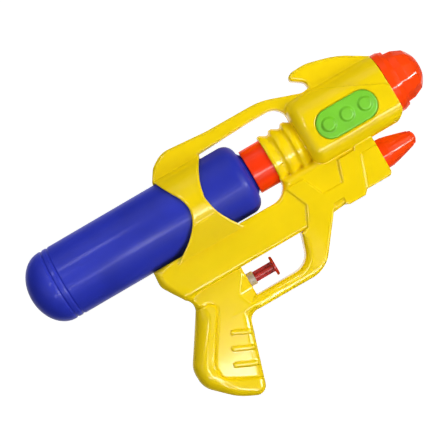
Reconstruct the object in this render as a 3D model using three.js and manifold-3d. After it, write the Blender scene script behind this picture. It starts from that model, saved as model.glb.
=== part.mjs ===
// Hand-held water squirter: a two-half moulded body around a rear screw-in tank,
// with a plunger trigger that is also the piston of the pump in the grip.
//
// Working frame, in millimetres: X runs along the tank axis towards the muzzle, Z is up,
// Y = 0 is the parting plane of the body and Z = 0 is the tank axis. The exported group
// then moves the whole object so that its origin is the middle of the hand grip.

import * as THREE from "three";
import { mergeVertices } from "three/addons/utils/BufferGeometryUtils.js";
import Module from "manifold-3d";

const wasm = await Module();
wasm.setup();

// Finish of the facets
const CHORD_ERROR = 0.3; // how far a facet may lie inside its true arc
const HOLLOW_ERROR = 1; // the same inside the body, where it only lightens the wall
const LARGE_SIDES = 24; // facets round the tank, band, barrel and muzzle
const MEDIUM_SIDES = 16; // facets round the lower nozzle, the studs and the pump's turned pieces
const SMALL_SIDES = 10; // facets round pump pieces, hoses and screws
const EDGE_STEPS = 2; // facets across a rounded rim

// Clearances
const FIT = 0.3; // between two pieces that are pushed together or slide
const PARTING_GAP = 0.2; // between the two body halves

// Body
const WALL = 1.8;
const HOLD_X = -38; // middle of the hand grip, the origin of the finished part
const HOLD_Z = -92;

// Tank: a blow-moulded bottle that lies along the X axis
const TANK_R = 24.7;
const TANK_WALL = 1.2;
const TANK_LENGTH = 163.6; // from the dome to the end of the shoulder
const TANK_DOME = 19; // length of the elliptical dome
const TANK_SHOULDER_R = 8.5;
const TANK_NECK_R = 13.2;
const TANK_NECK_LENGTH = 14;
const TANK_GROOVE_DEPTH = 0.5; // two shallow rings behind the dome
const TANK_GROOVE_WIDTH = 1.6;
const TANK_GROOVE_PITCH = 4.4;

// Cap: fixed in the body, the tank screws into it
const CAP_REAR_X = 31.4;
const CAP_R = 15.5;
const CAP_SHOWN = 14.8; // length in sight between the tank and the collar
const CAP_GROOVE_DEPTH = 0.9; // holds the collar's lip
const CAP_LIP = 1.8; // thickness of that lip
const CAP_FLANGE = 1.6;
const CAP_END = 3.4; // thickness of the closed end
const GASKET = 1.4;
const GASKET_HOLE_R = 9.6;

// Collar: the ribbed sleeve that holds the cap
const COLLAR_LENGTH = 24;
const RIB_COUNT = 3;
const RIB_HEIGHT = 2.3;
const RIB_CREST = 1.5;

// Band: the hoop round the tank
const BAND_WALL = 1.9;
const BAND_WAIST_FRONT_X = -1.8; // narrowest place of the hoop, seen from the side
const BAND_WAIST_REAR_X = -14.3;
const BAND_FRONT_R = 36.8; // round cut that shapes its front edge

// Pod: the upper housing, a round barrel between two flat-sided cheeks
const POD_LENGTH = 65.3;
const POD_HALF_WIDTH = 23.5;
const POD_EDGE = 7;
const POD_TOP = 26.6;
const POD_BOTTOM = -20;
const BARREL_Z = 5.3;
const BARREL_R = 22.5;
const BARREL_TAPER = 0.7;

// Spine: the carrying bar over the tank and the fin on the pod
const SPINE_HALF_WIDTH = 7;
const SPINE_EDGE = 2.6;
const BAR_CLEAR = 1.5; // from the tank's room to the bar's underside
const BAR_DEPTH = 9.7;
const BAR_REAR_RISE = 2.9; // how much higher the bar's rear end is
const FIN_RISE = 17; // height of the fin above the pod

// Beam: the box below the tank, with the web that rises to the collar
const BEAM_HALF_WIDTH = 15;
const BEAM_EDGE = 2.4;
const BEAM_BOTTOM = -49.7;
const BEAM_REAR_X = -56;
const WINDOW_FILLET = 12; // round corner of the window below the cap

// Fore-end: the block below the pod that carries the lower nozzle
const FORE_HALF_WIDTH = 16.5;
const FORE_EDGE = 1.8;
const FORE_TOP = -21;
const FORE_BOTTOM = -47.2;
const FORE_STEP = 2.8; // depth of the lip under the fore-end
const FORE_SETBACK = 24.7; // from the pod's front back to the fore-end's front
const PANEL_RECESS = 0.9;

// Guard: the bow in front of the trigger
const GUARD_HALF_WIDTH = 13;
const GUARD_EDGE = 3.4;
const GUARD_INSIDE = -70.3; // upper face of its lower bar
const GUARD_BOTTOM = -78.8;
const GUARD_FRONT_X = 33.5; // inner corner of the bow

// Grip
const GRIP_HALF_WIDTH = 12;
const GRIP_EDGE = 5;
const GRIP_BORDER = 0.9; // height of the raised back and foot
const GRIP_RIB_LENGTH = 14;
const GRIP_RIB_WIDTH = 3;
const GRIP_RIB_COUNT = 3;
const MOUTH_X = -4.4; // face that the trigger comes out of
const MOUTH_CHAMFER = 5;

// Side panels with three round studs
const SIDE_PANEL_LENGTH = 42.6;
const SIDE_PANEL_HEIGHT = 19.8;
const SIDE_PANEL_Z = 0.6;
const SIDE_PANEL_REAR = 11; // from the pod's rear
const SIDE_PANEL_DEPTH = 1.1; // depth of its seat
const SIDE_PANEL_PROUD = 0.7;
const STUD_R = 4.7;
const STUD_PITCH = 13.2;
const STUD_HEIGHT = 1.6;

// Muzzle and lower nozzle
const MUZZLE_R = 21.2;
const MUZZLE_FLANGE = 5;
const MUZZLE_NOSE = 17; // from the flange's step to the tip
const MUZZLE_NOSE_R = 17.5;
const MUZZLE_SPIGOT_R = 17.6;
const NOSE_SIDES = 12; // flats round both nozzles
const JET_R = 1.1;
const NOZZLE_Z = -32.9;
const NOZZLE_R = 10.3;
const NOZZLE_LENGTH = 24.6;
const NOZZLE_SPIGOT_R = 8;
const RETAINER = 2; // thickness of the flanges that sit behind a wall
const RETAINER_RISE = 1.8; // how far they stand out past their spigot

// Pump
const PUMP_Z = -60;
const PUMP_REAR_X = -41;
const PUMP_BORE_R = 5;
const PUMP_WALL = 1.2;
const PUMP_END = 1.8;
const PISTON_LENGTH = 4;
const GLAND_SPIGOT = 4.5;
const GLAND_FLANGE = 1.2;
const GLAND_SHOWN = 4.4; // length in sight in front of the mouth
const GLAND_WALL = 0.6;
const STEM_WIDTH = 7.2;
const STEM_WEB = 1.8;
const STEM_SHOWN = 13.6; // from the gland to the finger pad
const FINGER_PAD_R = 6.7;
const FINGER_PAD = 2;
const RING_WIRE_R = 0.75; // rubber ring on the piston
const SPRING_WIRE_R = 0.35;
const SPRING_COILS = 8;
const VALVE_BORE_R = 2.9;
const VALVE_WALL = 1.3;
const VALVE_HEIGHT = 8;
const VALVE_PITCH = 9.2;
const VALVE_BALL_R = 2.2;
const VALVE_LIFT = 1.1;
const PORT_R = 1.2;
const ELBOW_R = 2.4; // body of the two elbows on the pump
const ELBOW_REACH = 4.6; // from a valve's axis to the shoulder of its barb

// Hoses and their barbs
const HOSE_R = 2.6;
const HOSE_BORE_R = 1.7;
const BARB_BORE_R = 0.8;
const BARB_LENGTH = 7;
const HOSE_STEP = 9; // length of hose between two sections
const SUCTION_Z = -34.5;
const DELIVERY_Z = -43.4;
const DIP_END = 15; // from the dip tube's mouth to the tank's rear
const DIP_DROOP = 6;

// Screws: self-tapping, put in from the left
const SCREW_R = 1.3;
const SCREW_HEAD_R = 2.7;
const SCREW_HEAD = 1.8;
const SCREW_SEAT_Y = 3.4; // seat of the heads, measured from the parting plane
const SCREW_BITE = 4.6; // length in the right half
const BOSS_WALL = 1.5;
const SCREW_PLACES = {
  bar: [-12, 31.6],
  pod_rear: [82, 18],
  pod_front: [123, -12.6],
  beam: [-49, -37.5],
  fore_end: [98, -38],
  grip_top: [-36, -78],
  grip_foot: [-44, -111],
};

// Stations along X that follow from the sizes above
const tankShoulderX = CAP_REAR_X - FIT;
const tankRearX = tankShoulderX - TANK_LENGTH;
const collarRearX = CAP_REAR_X + CAP_SHOWN;
const podRearX = collarRearX + COLLAR_LENGTH;
const podFrontX = podRearX + POD_LENGTH;
const foreFrontX = podFrontX - FORE_SETBACK;
const collarValleyR = CAP_R;
const capLipX = collarRearX + 1;
const capFlangeX = capLipX + CAP_LIP + 2 * FIT;
const capEndX = capFlangeX + CAP_FLANGE;
const tankRoomR = TANK_R + 2 * FIT;
const barUnderside = tankRoomR + BAR_CLEAR;
const barTop = barUnderside + BAR_DEPTH;
const finTop = POD_TOP + FIN_RISE;
const beamTop = -tankRoomR;
const neckRimX = tankShoulderX + TANK_NECK_LENGTH;
const barbR = HOSE_BORE_R - FIT;
const capFloorX = capEndX - CAP_END;
const capElbowR = barbR + 1.4;
const capElbowX = capEndX + 5;
const muzzleX = podFrontX + FIT;
const nozzleX = foreFrontX + FIT;

// Stations of the pump
const pumpR = PUMP_BORE_R + PUMP_WALL;
const pumpFrontX = MOUTH_X - WALL - 2 * FIT - GLAND_FLANGE;
const glandBoreR = Math.hypot(STEM_WIDTH, STEM_WEB) / 2 + FIT;
const glandR = glandBoreR + GLAND_WALL;
const pistonFrontX = pumpFrontX - GLAND_SPIGOT - FIT;
const pistonRearX = pistonFrontX - PISTON_LENGTH;
const ringOuterR = PUMP_BORE_R - FIT / 2;
const fingerPadX = MOUTH_X + GLAND_SHOWN + STEM_SHOWN;
const valveR = VALVE_BORE_R + VALVE_WALL;
const inletX = PUMP_REAR_X + valveR;
const outletX = inletX + VALVE_PITCH;
const valveFloor = PUMP_Z + pumpR;
const valveTop = valveFloor + VALVE_HEIGHT;
const outletBallZ = valveFloor + Math.sqrt(VALVE_BALL_R ** 2 - PORT_R ** 2) + FIT / 2;
const inletBallZ = valveFloor + Math.sqrt(VALVE_BALL_R ** 2 - (0.7 * PORT_R) ** 2) + FIT / 2;

const YELLOW = plastic(0xf2cf12, 0.32);
const ORANGE = plastic(0xff4208, 0.22);
const BLUE = plastic(0x2430a8, 0.42);
const GREEN = plastic(0x6fd42c, 0.45);
const RED = plastic(0xa51a12, 0.35);
const MILKY = plastic(0xd9d4c4, 0.4);
const CLEAR_HOSE = plastic(0xdfe6e2, 0.3);
const RUBBER = plastic(0x1d1d1f, 0.8);
const STEEL = new THREE.MeshStandardMaterial({ color: 0xb8bcc2, roughness: 0.3, metalness: 1 });

function plastic(color, roughness) {
  return new THREE.MeshStandardMaterial({ color, roughness, metalness: 0 });
}

// A closed three.js geometry as a solid that can be joined and cut.
function toSolid(geometry) {
  const bare = geometry.index ? geometry.toNonIndexed() : geometry.clone();
  bare.deleteAttribute("normal");
  bare.deleteAttribute("uv");
  const merged = mergeVertices(bare, 1e-4);
  const index = merged.index.array;
  const triVerts = [];
  for (let i = 0; i < index.length; i += 3) {
    const [a, b, c] = index.slice(i, i + 3);
    if (a !== b && b !== c && c !== a) triVerts.push(a, b, c);
  }
  return new wasm.Manifold(
    new wasm.Mesh({
      numProp: 3,
      vertProperties: merged.attributes.position.array,
      triVerts: new Uint32Array(triVerts),
    }),
  );
}

function toMesh(name, solid, material) {
  const made = solid.getMesh();
  const geometry = new THREE.BufferGeometry();
  geometry.setAttribute("position", new THREE.BufferAttribute(new Float32Array(made.vertProperties), 3));
  geometry.setIndex(new THREE.BufferAttribute(new Uint32Array(made.triVerts), 1));
  geometry.computeVertexNormals();
  const mesh = new THREE.Mesh(geometry, material);
  mesh.name = name;
  return mesh;
}

function join(solids) {
  return solids.reduce((whole, solid) => whole.add(solid));
}

// Corners [a, b, fillet] moved inwards by a distance, with concentric fillets.
function movedIn(corners, distance) {
  const sense = Math.sign(THREE.ShapeUtils.area(corners.map(([a, b]) => new THREE.Vector2(a, b))));
  return corners.map(([a, b, fillet = 0], i) => {
    const [a0, b0] = corners.at(i - 1);
    const [a1, b1] = corners[(i + 1) % corners.length];
    const into = new THREE.Vector2(a - a0, b - b0).normalize();
    const out = new THREE.Vector2(a1 - a, b1 - b).normalize();
    const turn = sense * into.cross(out);
    const reach = (sense * distance) / (1 + into.dot(out));
    const corner = [a - (into.y + out.y) * reach, b + (into.x + out.x) * reach];
    return [...corner, fillet && Math.max(fillet - Math.sign(turn) * distance, 0.05)];
  });
}

// Points of a closed outline; every fillet becomes an arc with as many steps at any inset.
function rounded(corners, inset = 0, error = CHORD_ERROR) {
  const moved = movedIn(corners, inset);
  return moved.flatMap(([a, b, radius], i) => {
    const corner = new THREE.Vector2(a, b);
    if (!radius) return [corner];
    const [a0, b0] = moved.at(i - 1);
    const [a1, b1] = moved[(i + 1) % moved.length];
    const back = new THREE.Vector2(a0 - a, b0 - b).normalize();
    const on = new THREE.Vector2(a1 - a, b1 - b).normalize();
    const half = Math.acos(THREE.MathUtils.clamp(back.dot(on), -1, 1)) / 2;
    const middle = back.clone().add(on).normalize();
    const centre = corner.clone().addScaledVector(middle, radius / Math.sin(half));
    const start = corner.clone().addScaledVector(back, radius / Math.tan(half));
    const turn = Math.sign(on.cross(back)) * (Math.PI - 2 * half);
    const fillet = corners[i][2];
    const facet = 2 * Math.acos(1 - Math.min(error / fillet, 0.5));
    const steps = Math.max(1, Math.ceil(Math.abs(turn) / facet));
    const along = (k) => start.clone().rotateAround(centre, (turn * k) / steps);
    return Array.from({ length: steps + 1 }, (_, k) => along(k));
  });
}

// A closed skin over outlines [points, y] that follow each other along Y.
function skinned(levels) {
  const count = levels[0][0].length;
  const last = (levels.length - 1) * count;
  const position = levels.flatMap(([points, y]) => points.flatMap((p) => [p.x, y, p.y]));
  const index = [];
  for (let start = 0; start < last; start += count) {
    for (let i = 0; i < count; i += 1) {
      const next = (i + 1) % count;
      index.push(start + i, start + count + i, start + next);
      index.push(start + next, start + count + i, start + count + next);
    }
  }
  for (const [a, b, c] of THREE.ShapeUtils.triangulateShape(levels[0][0], [])) index.push(a, b, c);
  for (const [a, b, c] of THREE.ShapeUtils.triangulateShape(levels.at(-1)[0], [])) {
    index.push(last + c, last + b, last + a);
  }
  const geometry = new THREE.BufferGeometry();
  geometry.setAttribute("position", new THREE.Float32BufferAttribute(position, 3));
  return toSolid(geometry.setIndex(index));
}

// A plate with a side outline, centred on the parting plane, with a rounded rim. An inset makes
// the hollow inside such a plate.
function plate(corners, halfWidth, edge, inset = 0) {
  const ordered = anticlockwise(corners);
  const rim = Math.max(edge - inset, FIT);
  const flat = halfWidth - inset - rim;
  const steps = inset ? 1 : EDGE_STEPS;
  const error = inset ? HOLLOW_ERROR : CHORD_ERROR;
  const side = Array.from({ length: steps + 1 }, (_, k) => {
    const a = (Math.PI / 2) * (k / steps);
    return [rounded(ordered, inset + rim * (1 - Math.sin(a)), error), flat + rim * Math.cos(a)];
  });
  return skinned([...side.map(([points, y]) => [points, -y]), ...side.reverse()]);
}

function anticlockwise(corners) {
  const area = THREE.ShapeUtils.area(corners.map(([a, b]) => new THREE.Vector2(a, b)));
  return area < 0 ? [...corners].reverse() : corners;
}

// A straight prism through the side outline, from y = low to y = high.
function prism(corners, low, high) {
  const shape = new THREE.Shape(rounded(corners));
  const geometry = new THREE.ExtrudeGeometry(shape, { depth: high - low, bevelEnabled: false });
  return toSolid(geometry.translate(0, 0, -high).rotateX(Math.PI / 2));
}

// A solid turned about a line along X at height z, from corners [x, radius, fillet].
function turned(corners, z = 0, sides = LARGE_SIDES) {
  return turnedPoints(rounded(corners), z, sides);
}

function turnedPoints(points, z, sides, start = 0) {
  const profile = points.map((p) => new THREE.Vector2(p.y, p.x));
  if (THREE.ShapeUtils.area(profile) < 0) profile.reverse();
  const geometry = new THREE.LatheGeometry([...profile, profile[0]], sides, start);
  return toSolid(geometry.rotateZ(-Math.PI / 2).translate(0, 0, z));
}

// A plain cylinder along X, Y or Z between two ends.
function rod(axis, radius, from, to, [a, b], sides = SMALL_SIDES) {
  const geometry = new THREE.CylinderGeometry(radius, radius, to - from, sides);
  geometry.translate(0, (from + to) / 2, 0);
  if (axis === "x") geometry.rotateZ(-Math.PI / 2).translate(0, a, b);
  if (axis === "y") geometry.translate(a, 0, b);
  if (axis === "z") geometry.rotateX(Math.PI / 2).translate(a, b, 0);
  return toSolid(geometry);
}

function block([x0, x1], [y0, y1], [z0, z1]) {
  const geometry = new THREE.BoxGeometry(x1 - x0, y1 - y0, z1 - z0);
  return toSolid(geometry.translate((x0 + x1) / 2, (y0 + y1) / 2, (z0 + z1) / 2));
}

function mirrored(solid) {
  return solid.mirror([0, 1, 0]);
}

// Outlines of the body, seen from the side, as corners [x, z, fillet].
function spineCorners() {
  const barRearX = BAND_WAIST_REAR_X - 12.9;
  const notchX = podRearX + 22;
  return [
    [barRearX, tankRoomR - 8],
    [barRearX, barTop + BAR_REAR_RISE, 13],
    [10, barTop + 0.4, 60],
    [podRearX - 10, barTop + 0.2, 45],
    [notchX - 5.7, POD_TOP + 0.8, 6],
    [notchX - 0.6, POD_TOP + 1.6, 1],
    [notchX - 1, POD_TOP + 6, 4.5],
    [notchX - 10.2, finTop - 4, 1.6],
    [notchX - 5.7, finTop - 1.3, 5],
    [notchX + 4.8, finTop - 0.3, 25],
    [notchX + 26, finTop - 6.2, 60],
    [podFrontX, BARREL_Z + BARREL_R - BARREL_TAPER - 0.8],
    [podFrontX, BARREL_Z],
    [podRearX, BARREL_Z],
    [podRearX, barUnderside + 1, 6],
    [collarRearX, barUnderside + 1.6, 60],
    [BAND_WAIST_FRONT_X + 9.8, barUnderside],
    [BAND_WAIST_FRONT_X + 9.8, tankRoomR - 8],
  ];
}

function cheekCorners() {
  return [
    [podRearX, POD_BOTTOM, 9],
    [podRearX, POD_TOP, 9],
    [podRearX + 24, POD_TOP, 12],
    [podRearX + 54, BARREL_Z + 4, 24],
    [podFrontX + POD_EDGE, BARREL_Z + 1],
    [podFrontX + POD_EDGE, POD_BOTTOM],
  ];
}

function beamCorners() {
  const frontX = foreFrontX - 7;
  return [
    [BEAM_REAR_X + 1, beamTop + 1, 1],
    [collarRearX, beamTop, WINDOW_FILLET],
    [collarRearX, beamTop + WINDOW_FILLET + 1.5, 0.5],
    [frontX, beamTop + WINDOW_FILLET + 1.5],
    [frontX, FORE_BOTTOM + 2],
    [podRearX - 8, BEAM_BOTTOM],
    [BEAM_REAR_X + 9.4, BEAM_BOTTOM, 5],
    [BEAM_REAR_X + 4.4, BEAM_BOTTOM + 4.6, 8],
    [BEAM_REAR_X, beamTop - 9.6, 9],
  ];
}

function foreCorners() {
  const lipFrontX = foreFrontX - 20;
  return [
    [collarRearX + 0.6, FORE_TOP, 1],
    [foreFrontX - 15, FORE_TOP, 0.8],
    [foreFrontX - 13.2, FORE_TOP + 5, 0.8],
    [foreFrontX, FORE_TOP + 5, 1.5],
    [foreFrontX, FORE_BOTTOM, 3],
    [lipFrontX, FORE_BOTTOM, 1.2],
    [lipFrontX - 3, FORE_BOTTOM - FORE_STEP, 1.2],
    [lipFrontX - 15, FORE_BOTTOM - FORE_STEP, 1.2],
    [lipFrontX - 17, FORE_BOTTOM - 0.5, 0.6],
    [collarRearX + 12, FORE_BOTTOM - 0.5],
    [collarRearX + 0.6, BEAM_BOTTOM - 1, 1],
    [collarRearX + 6.8, (FORE_TOP + BEAM_BOTTOM) / 2 - 1.4, 2.5],
  ];
}

function guardCorners() {
  const postTopX = collarRearX + 20;
  const postTop = FORE_BOTTOM + 3;
  return [
    [MOUTH_X - 14.5, GUARD_BOTTOM - 13.5],
    [MOUTH_X - 10.2, GUARD_BOTTOM, 8],
    [GUARD_FRONT_X + 8.5, GUARD_BOTTOM, 21],
    [postTopX, postTop],
    [GUARD_FRONT_X + 10, postTop],
    [GUARD_FRONT_X + 7, BEAM_BOTTOM + 1],
    [GUARD_FRONT_X, GUARD_INSIDE, 13],
    [MOUTH_X - 24, GUARD_INSIDE],
    [MOUTH_X - 24, GUARD_BOTTOM - 13.5],
  ];
}

function gripCorners() {
  return [
    [BEAM_REAR_X + 10.4, BEAM_BOTTOM + 6],
    [BEAM_REAR_X + 13.2, PUMP_Z + 2.6, 7],
    [HOLD_X - 27.4, HOLD_Z + 0.5, 15],
    [HOLD_X - 27.2, HOLD_Z - 13.2, 14],
    [HOLD_X - 10, HOLD_Z - 29.4, 40],
    [HOLD_X + 7.4, HOLD_Z - 37.8, 6.5],
    [MOUTH_X - 10.2, GUARD_BOTTOM],
    [MOUTH_X, GUARD_INSIDE - 2],
    [MOUTH_X, BEAM_BOTTOM + 6],
  ];
}

// The raised back and foot of the grip, larger than the grip itself on the outside.
function borderCorners() {
  return [
    [HOLD_X - 40, PUMP_Z + 3.4],
    [HOLD_X - 3.8, PUMP_Z + 3.4],
    [HOLD_X + 8.2, PUMP_Z - 1.4, 2.6],
    [HOLD_X - 12.2, HOLD_Z - 5, 9],
    [HOLD_X - 10.6, HOLD_Z - 14.4, 8],
    [HOLD_X + 12, HOLD_Z - 28.6],
    [HOLD_X + 12, HOLD_Z - 50],
    [HOLD_X - 40, HOLD_Z - 50],
  ];
}

// Solids of the body. Each takes an inset, so that the same call gives its hollow.
function barrel(inset) {
  const r = BARREL_R - inset;
  const front = podFrontX - inset;
  return turned(
    [
      [podRearX + 10, 0],
      [podRearX + 10, r],
      [front - 8, r],
      [front, r - BARREL_TAPER],
      [front, 0],
    ],
    BARREL_Z,
  );
}

function cheeks(inset) {
  const whole = plate(cheekCorners(), POD_HALF_WIDTH, POD_EDGE, inset);
  return whole.trimByPlane([-1, 0, 0], inset - podFrontX);
}

function collar(inset) {
  const valley = collarValleyR - inset;
  const front = podRearX + 12;
  if (inset) return turned([[capEndX, 0], [capEndX, valley], [front, valley], [front, 0]]);
  const pitch = (COLLAR_LENGTH - RIB_CREST) / (RIB_COUNT - 0.5);
  const crest = valley + RIB_HEIGHT;
  const ribs = Array.from({ length: RIB_COUNT }, (_, i) => {
    const x = collarRearX + i * pitch;
    const foot = i ? [[x - 0.25 * pitch, valley]] : [];
    return [...foot, [x, crest, 0.7], [x + RIB_CREST, crest, 0.7], [x + 0.6 * pitch, valley]];
  });
  return turned([[collarRearX, 0], ...ribs.flat(), [front, valley], [front, 0]]);
}

function grip(inset) {
  const base = plate(gripCorners(), GRIP_HALF_WIDTH, GRIP_EDGE, inset);
  if (inset) return base;
  const border = plate(gripCorners(), GRIP_HALF_WIDTH + GRIP_BORDER, GRIP_EDGE);
  const reach = 2 * GRIP_HALF_WIDTH;
  return join([base, border.intersect(prism(borderCorners(), -reach, reach)), ...gripRibs()]);
}

// Three bars across the front of the grip, square to its front edge.
function gripRibs() {
  const along = new THREE.Vector2(0.87, -0.5);
  return Array.from({ length: GRIP_RIB_COUNT }, (_, i) => {
    const front = new THREE.Vector2(HOLD_X + 20.2 - 3 * i, HOLD_Z + 0.6 - 9.2 * i);
    const rear = front.clone().addScaledVector(along, -GRIP_RIB_LENGTH);
    const half = new THREE.Vector2(along.y, -along.x).multiplyScalar(GRIP_RIB_WIDTH / 2);
    const lower = [rear.clone().sub(half), front.clone().sub(half)];
    const upper = [front.clone().add(half), rear.clone().add(half)];
    const fillet = 0.45 * GRIP_RIB_WIDTH;
    const bar = [...lower, ...upper].map((p) => [p.x, p.y, fillet]);
    return plate(bar, GRIP_HALF_WIDTH + GRIP_BORDER, GRIP_BORDER);
  });
}

// The hoop round the tank: a ring cut by the curved edges that show from the side.
function band() {
  const frontX = BAND_WAIST_FRONT_X;
  const rearX = BAND_WAIST_REAR_X;
  const r = tankRoomR + BAND_WALL;
  const ends = [rearX - 24, frontX + 13];
  const ring = turned([[ends[0], tankRoomR], [ends[0], r], [ends[1], r], [ends[1], tankRoomR]]);
  const reach = 2 * r;
  const frontCut = rod("y", BAND_FRONT_R, -reach, reach, [frontX + BAND_FRONT_R, 0], 40);
  const knots = [
    [rearX - 15, r + 2],
    [rearX - 5.2, 0.51 * r],
    [rearX, 0],
    [rearX - 4.6, -0.53 * r],
    [rearX - 23, -r - 1],
  ];
  const curve = new THREE.SplineCurve(knots.map(([x, z]) => new THREE.Vector2(x, z)));
  const rearEdge = curve.getPoints(12).map((p) => [p.x, p.y]);
  const behind = rearX - 60;
  const rearCut = prism([...rearEdge, [behind, -reach], [behind, reach]], -reach, reach);
  return ring.subtract(frontCut).subtract(rearCut);
}

// Shallow fields on the fore-end: a trapezium under the pod, a box behind the nozzle and a notch
// in the lower edge.
function foreFields() {
  const floor = FORE_HALF_WIDTH - PANEL_RECESS;
  const reach = FORE_HALF_WIDTH + 1;
  const left = collarRearX + 11;
  const trapezium = [
    [left, FORE_TOP - 0.6],
    [left + 26.6, FORE_TOP - 0.6],
    [left + 21, FORE_TOP - 15.4],
    [left + 7, FORE_TOP - 15.4],
  ];
  const box = [
    [foreFrontX - 12.6, FORE_TOP - 4],
    [foreFrontX + 1, FORE_TOP - 4],
    [foreFrontX + 1, FORE_BOTTOM - 2],
    [foreFrontX - 19, FORE_BOTTOM - 2],
  ];
  const notch = [
    [foreFrontX - 43.8, FORE_BOTTOM + 3.4],
    [foreFrontX - 35.2, FORE_BOTTOM + 3.4],
    [foreFrontX - 36.8, FORE_BOTTOM - 2],
    [foreFrontX - 43.8, FORE_BOTTOM - 2],
  ];
  const sides = [trapezium, box, notch].map((corners) => prism(corners, -reach, -floor));
  return join([...sides, ...sides.map(mirrored)]);
}

function screwBosses() {
  const sides = 8;
  const reach = 2 * POD_HALF_WIDTH;
  return Object.values(SCREW_PLACES).map((place) => ({
    left: rod("y", SCREW_HEAD_R + 2 * FIT + BOSS_WALL, 0, reach, place, sides),
    right: rod("y", SCREW_R + FIT + BOSS_WALL, -reach, 0, place, sides),
    pocket: rod("y", SCREW_HEAD_R + 2 * FIT, SCREW_SEAT_Y, reach, place, sides),
    hole: rod("y", SCREW_R + FIT, -SCREW_BITE - 1, SCREW_SEAT_Y + 1, place, sides),
  }));
}

// Ribs inside the grip with a round seat for the pump.
function pumpCradles() {
  const seat = rod("x", pumpR + FIT, PUMP_REAR_X - 1, MOUTH_X, [0, PUMP_Z]);
  const places = [PUMP_REAR_X + 5.5, MOUTH_X - WALL - 9];
  const ribs = places.map((x) =>
    block([x, x + WALL], [-GRIP_HALF_WIDTH, GRIP_HALF_WIDTH], [PUMP_Z - pumpR - 4, PUMP_Z + 2]),
  );
  return join(ribs).subtract(seat);
}

// Both halves of the body, before they are parted.
function bodyHalves() {
  const makers = [
    (inset) => plate(spineCorners(), SPINE_HALF_WIDTH, SPINE_EDGE, inset),
    barrel,
    cheeks,
    collar,
    (inset) => plate(beamCorners(), BEAM_HALF_WIDTH, BEAM_EDGE, inset),
    (inset) => plate(foreCorners(), FORE_HALF_WIDTH, FORE_EDGE, inset),
    (inset) => plate(guardCorners(), GUARD_HALF_WIDTH, GUARD_EDGE, inset),
    grip,
  ];
  const room = (clear) => {
    const r = tankRoomR + clear;
    return turned([[tankRearX, 0], [tankRearX, r], [CAP_REAR_X, r], [CAP_REAR_X, 0]]);
  };
  const outside = join(makers.map((make) => make(0)));
  const hollow = join(makers.map((make) => make(WALL))).subtract(room(WALL));
  const bosses = screwBosses();
  const inner = [pumpCradles(), ...bosses.flatMap((b) => [b.left, b.right])];
  const walled = outside.subtract(hollow).add(join(inner).intersect(outside));
  const shell = walled.subtract(room(0)).add(band());
  const passage = rod("z", HOSE_R + 2 * FIT, SUCTION_Z, -CAP_R / 2, [capElbowX, 0]);
  const fronts = [muzzleRoom(), nozzleRoom(), glandRoom(), capRoom(), passage];
  const rooms = join([...fronts, foreFields(), mouthChamfers(), ...panelSeats()]);
  const cut = shell.subtract(rooms).subtract(join(bosses.map((b) => b.hole)));
  const left = cut.trimByPlane([0, 1, 0], PARTING_GAP / 2).subtract(join(bosses.map((b) => b.pocket)));
  const right = cut.trimByPlane([0, -1, 0], PARTING_GAP / 2);
  return { left, right };
}

function capRoom() {
  const groove = CAP_R - CAP_GROOVE_DEPTH + FIT;
  return turned([
    [CAP_REAR_X, 0],
    [CAP_REAR_X, CAP_R + FIT],
    [capLipX, CAP_R + FIT],
    [capLipX, groove],
    [capLipX + CAP_LIP, groove],
    [capLipX + CAP_LIP, CAP_R + FIT],
    [capEndX + FIT, CAP_R + FIT],
    [capEndX + FIT, 0],
  ]);
}

function muzzleRoom() {
  return rod("x", MUZZLE_SPIGOT_R + FIT, podFrontX - WALL - 1, podFrontX + 1, [0, BARREL_Z], LARGE_SIDES);
}

function nozzleRoom() {
  return rod("x", NOZZLE_SPIGOT_R + FIT, foreFrontX - WALL - 1, foreFrontX + 1, [0, NOZZLE_Z], MEDIUM_SIDES);
}

function glandRoom() {
  return rod("x", glandR + FIT, MOUTH_X - WALL - 1, MOUTH_X + 1, [0, PUMP_Z], MEDIUM_SIDES);
}

// Slanting cuts on both sides of the mouth.
function mouthChamfers() {
  const deep = GRIP_HALF_WIDTH + GRIP_BORDER + 1;
  const shape = new THREE.Shape([
    new THREE.Vector2(MOUTH_X + 1, deep - MOUTH_CHAMFER - 1.2),
    new THREE.Vector2(MOUTH_X + 1, deep),
    new THREE.Vector2(MOUTH_X - 2 * MOUTH_CHAMFER, deep),
  ]);
  const height = BEAM_BOTTOM - GUARD_INSIDE;
  const geometry = new THREE.ExtrudeGeometry(shape, { depth: height, bevelEnabled: false });
  const wedge = toSolid(geometry.translate(0, 0, GUARD_INSIDE));
  return wedge.add(mirrored(wedge));
}

// Side panel: a rounded plate in a shallow seat of the cheek, with three studs.
function sidePanelCorners(grow) {
  const x0 = podRearX + SIDE_PANEL_REAR;
  const half = SIDE_PANEL_HEIGHT / 2 + grow;
  return [
    [x0 - grow, SIDE_PANEL_Z - half, half - 0.01],
    [x0 + SIDE_PANEL_LENGTH + grow, SIDE_PANEL_Z - half, half - 0.01],
    [x0 + SIDE_PANEL_LENGTH + grow, SIDE_PANEL_Z + half, half - 0.01],
    [x0 - grow, SIDE_PANEL_Z + half, half - 0.01],
  ];
}

function panelSeats() {
  const floor = POD_HALF_WIDTH - SIDE_PANEL_DEPTH;
  const right = prism(sidePanelCorners(FIT), -POD_HALF_WIDTH - 1, -floor);
  return [right, mirrored(right)];
}

function sidePanel() {
  const back = -(POD_HALF_WIDTH - SIDE_PANEL_DEPTH + 0.1);
  const face = -(POD_HALF_WIDTH + SIDE_PANEL_PROUD);
  const plateWhole = plate(sidePanelCorners(0), -face, SIDE_PANEL_PROUD);
  const base = plateWhole.trimByPlane([0, -1, 0], -back);
  const middleX = podRearX + SIDE_PANEL_REAR + SIDE_PANEL_LENGTH / 2;
  const studs = [-1, 0, 1].map((i) => stud(middleX + i * STUD_PITCH, face));
  return join([base, ...studs]);
}

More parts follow.
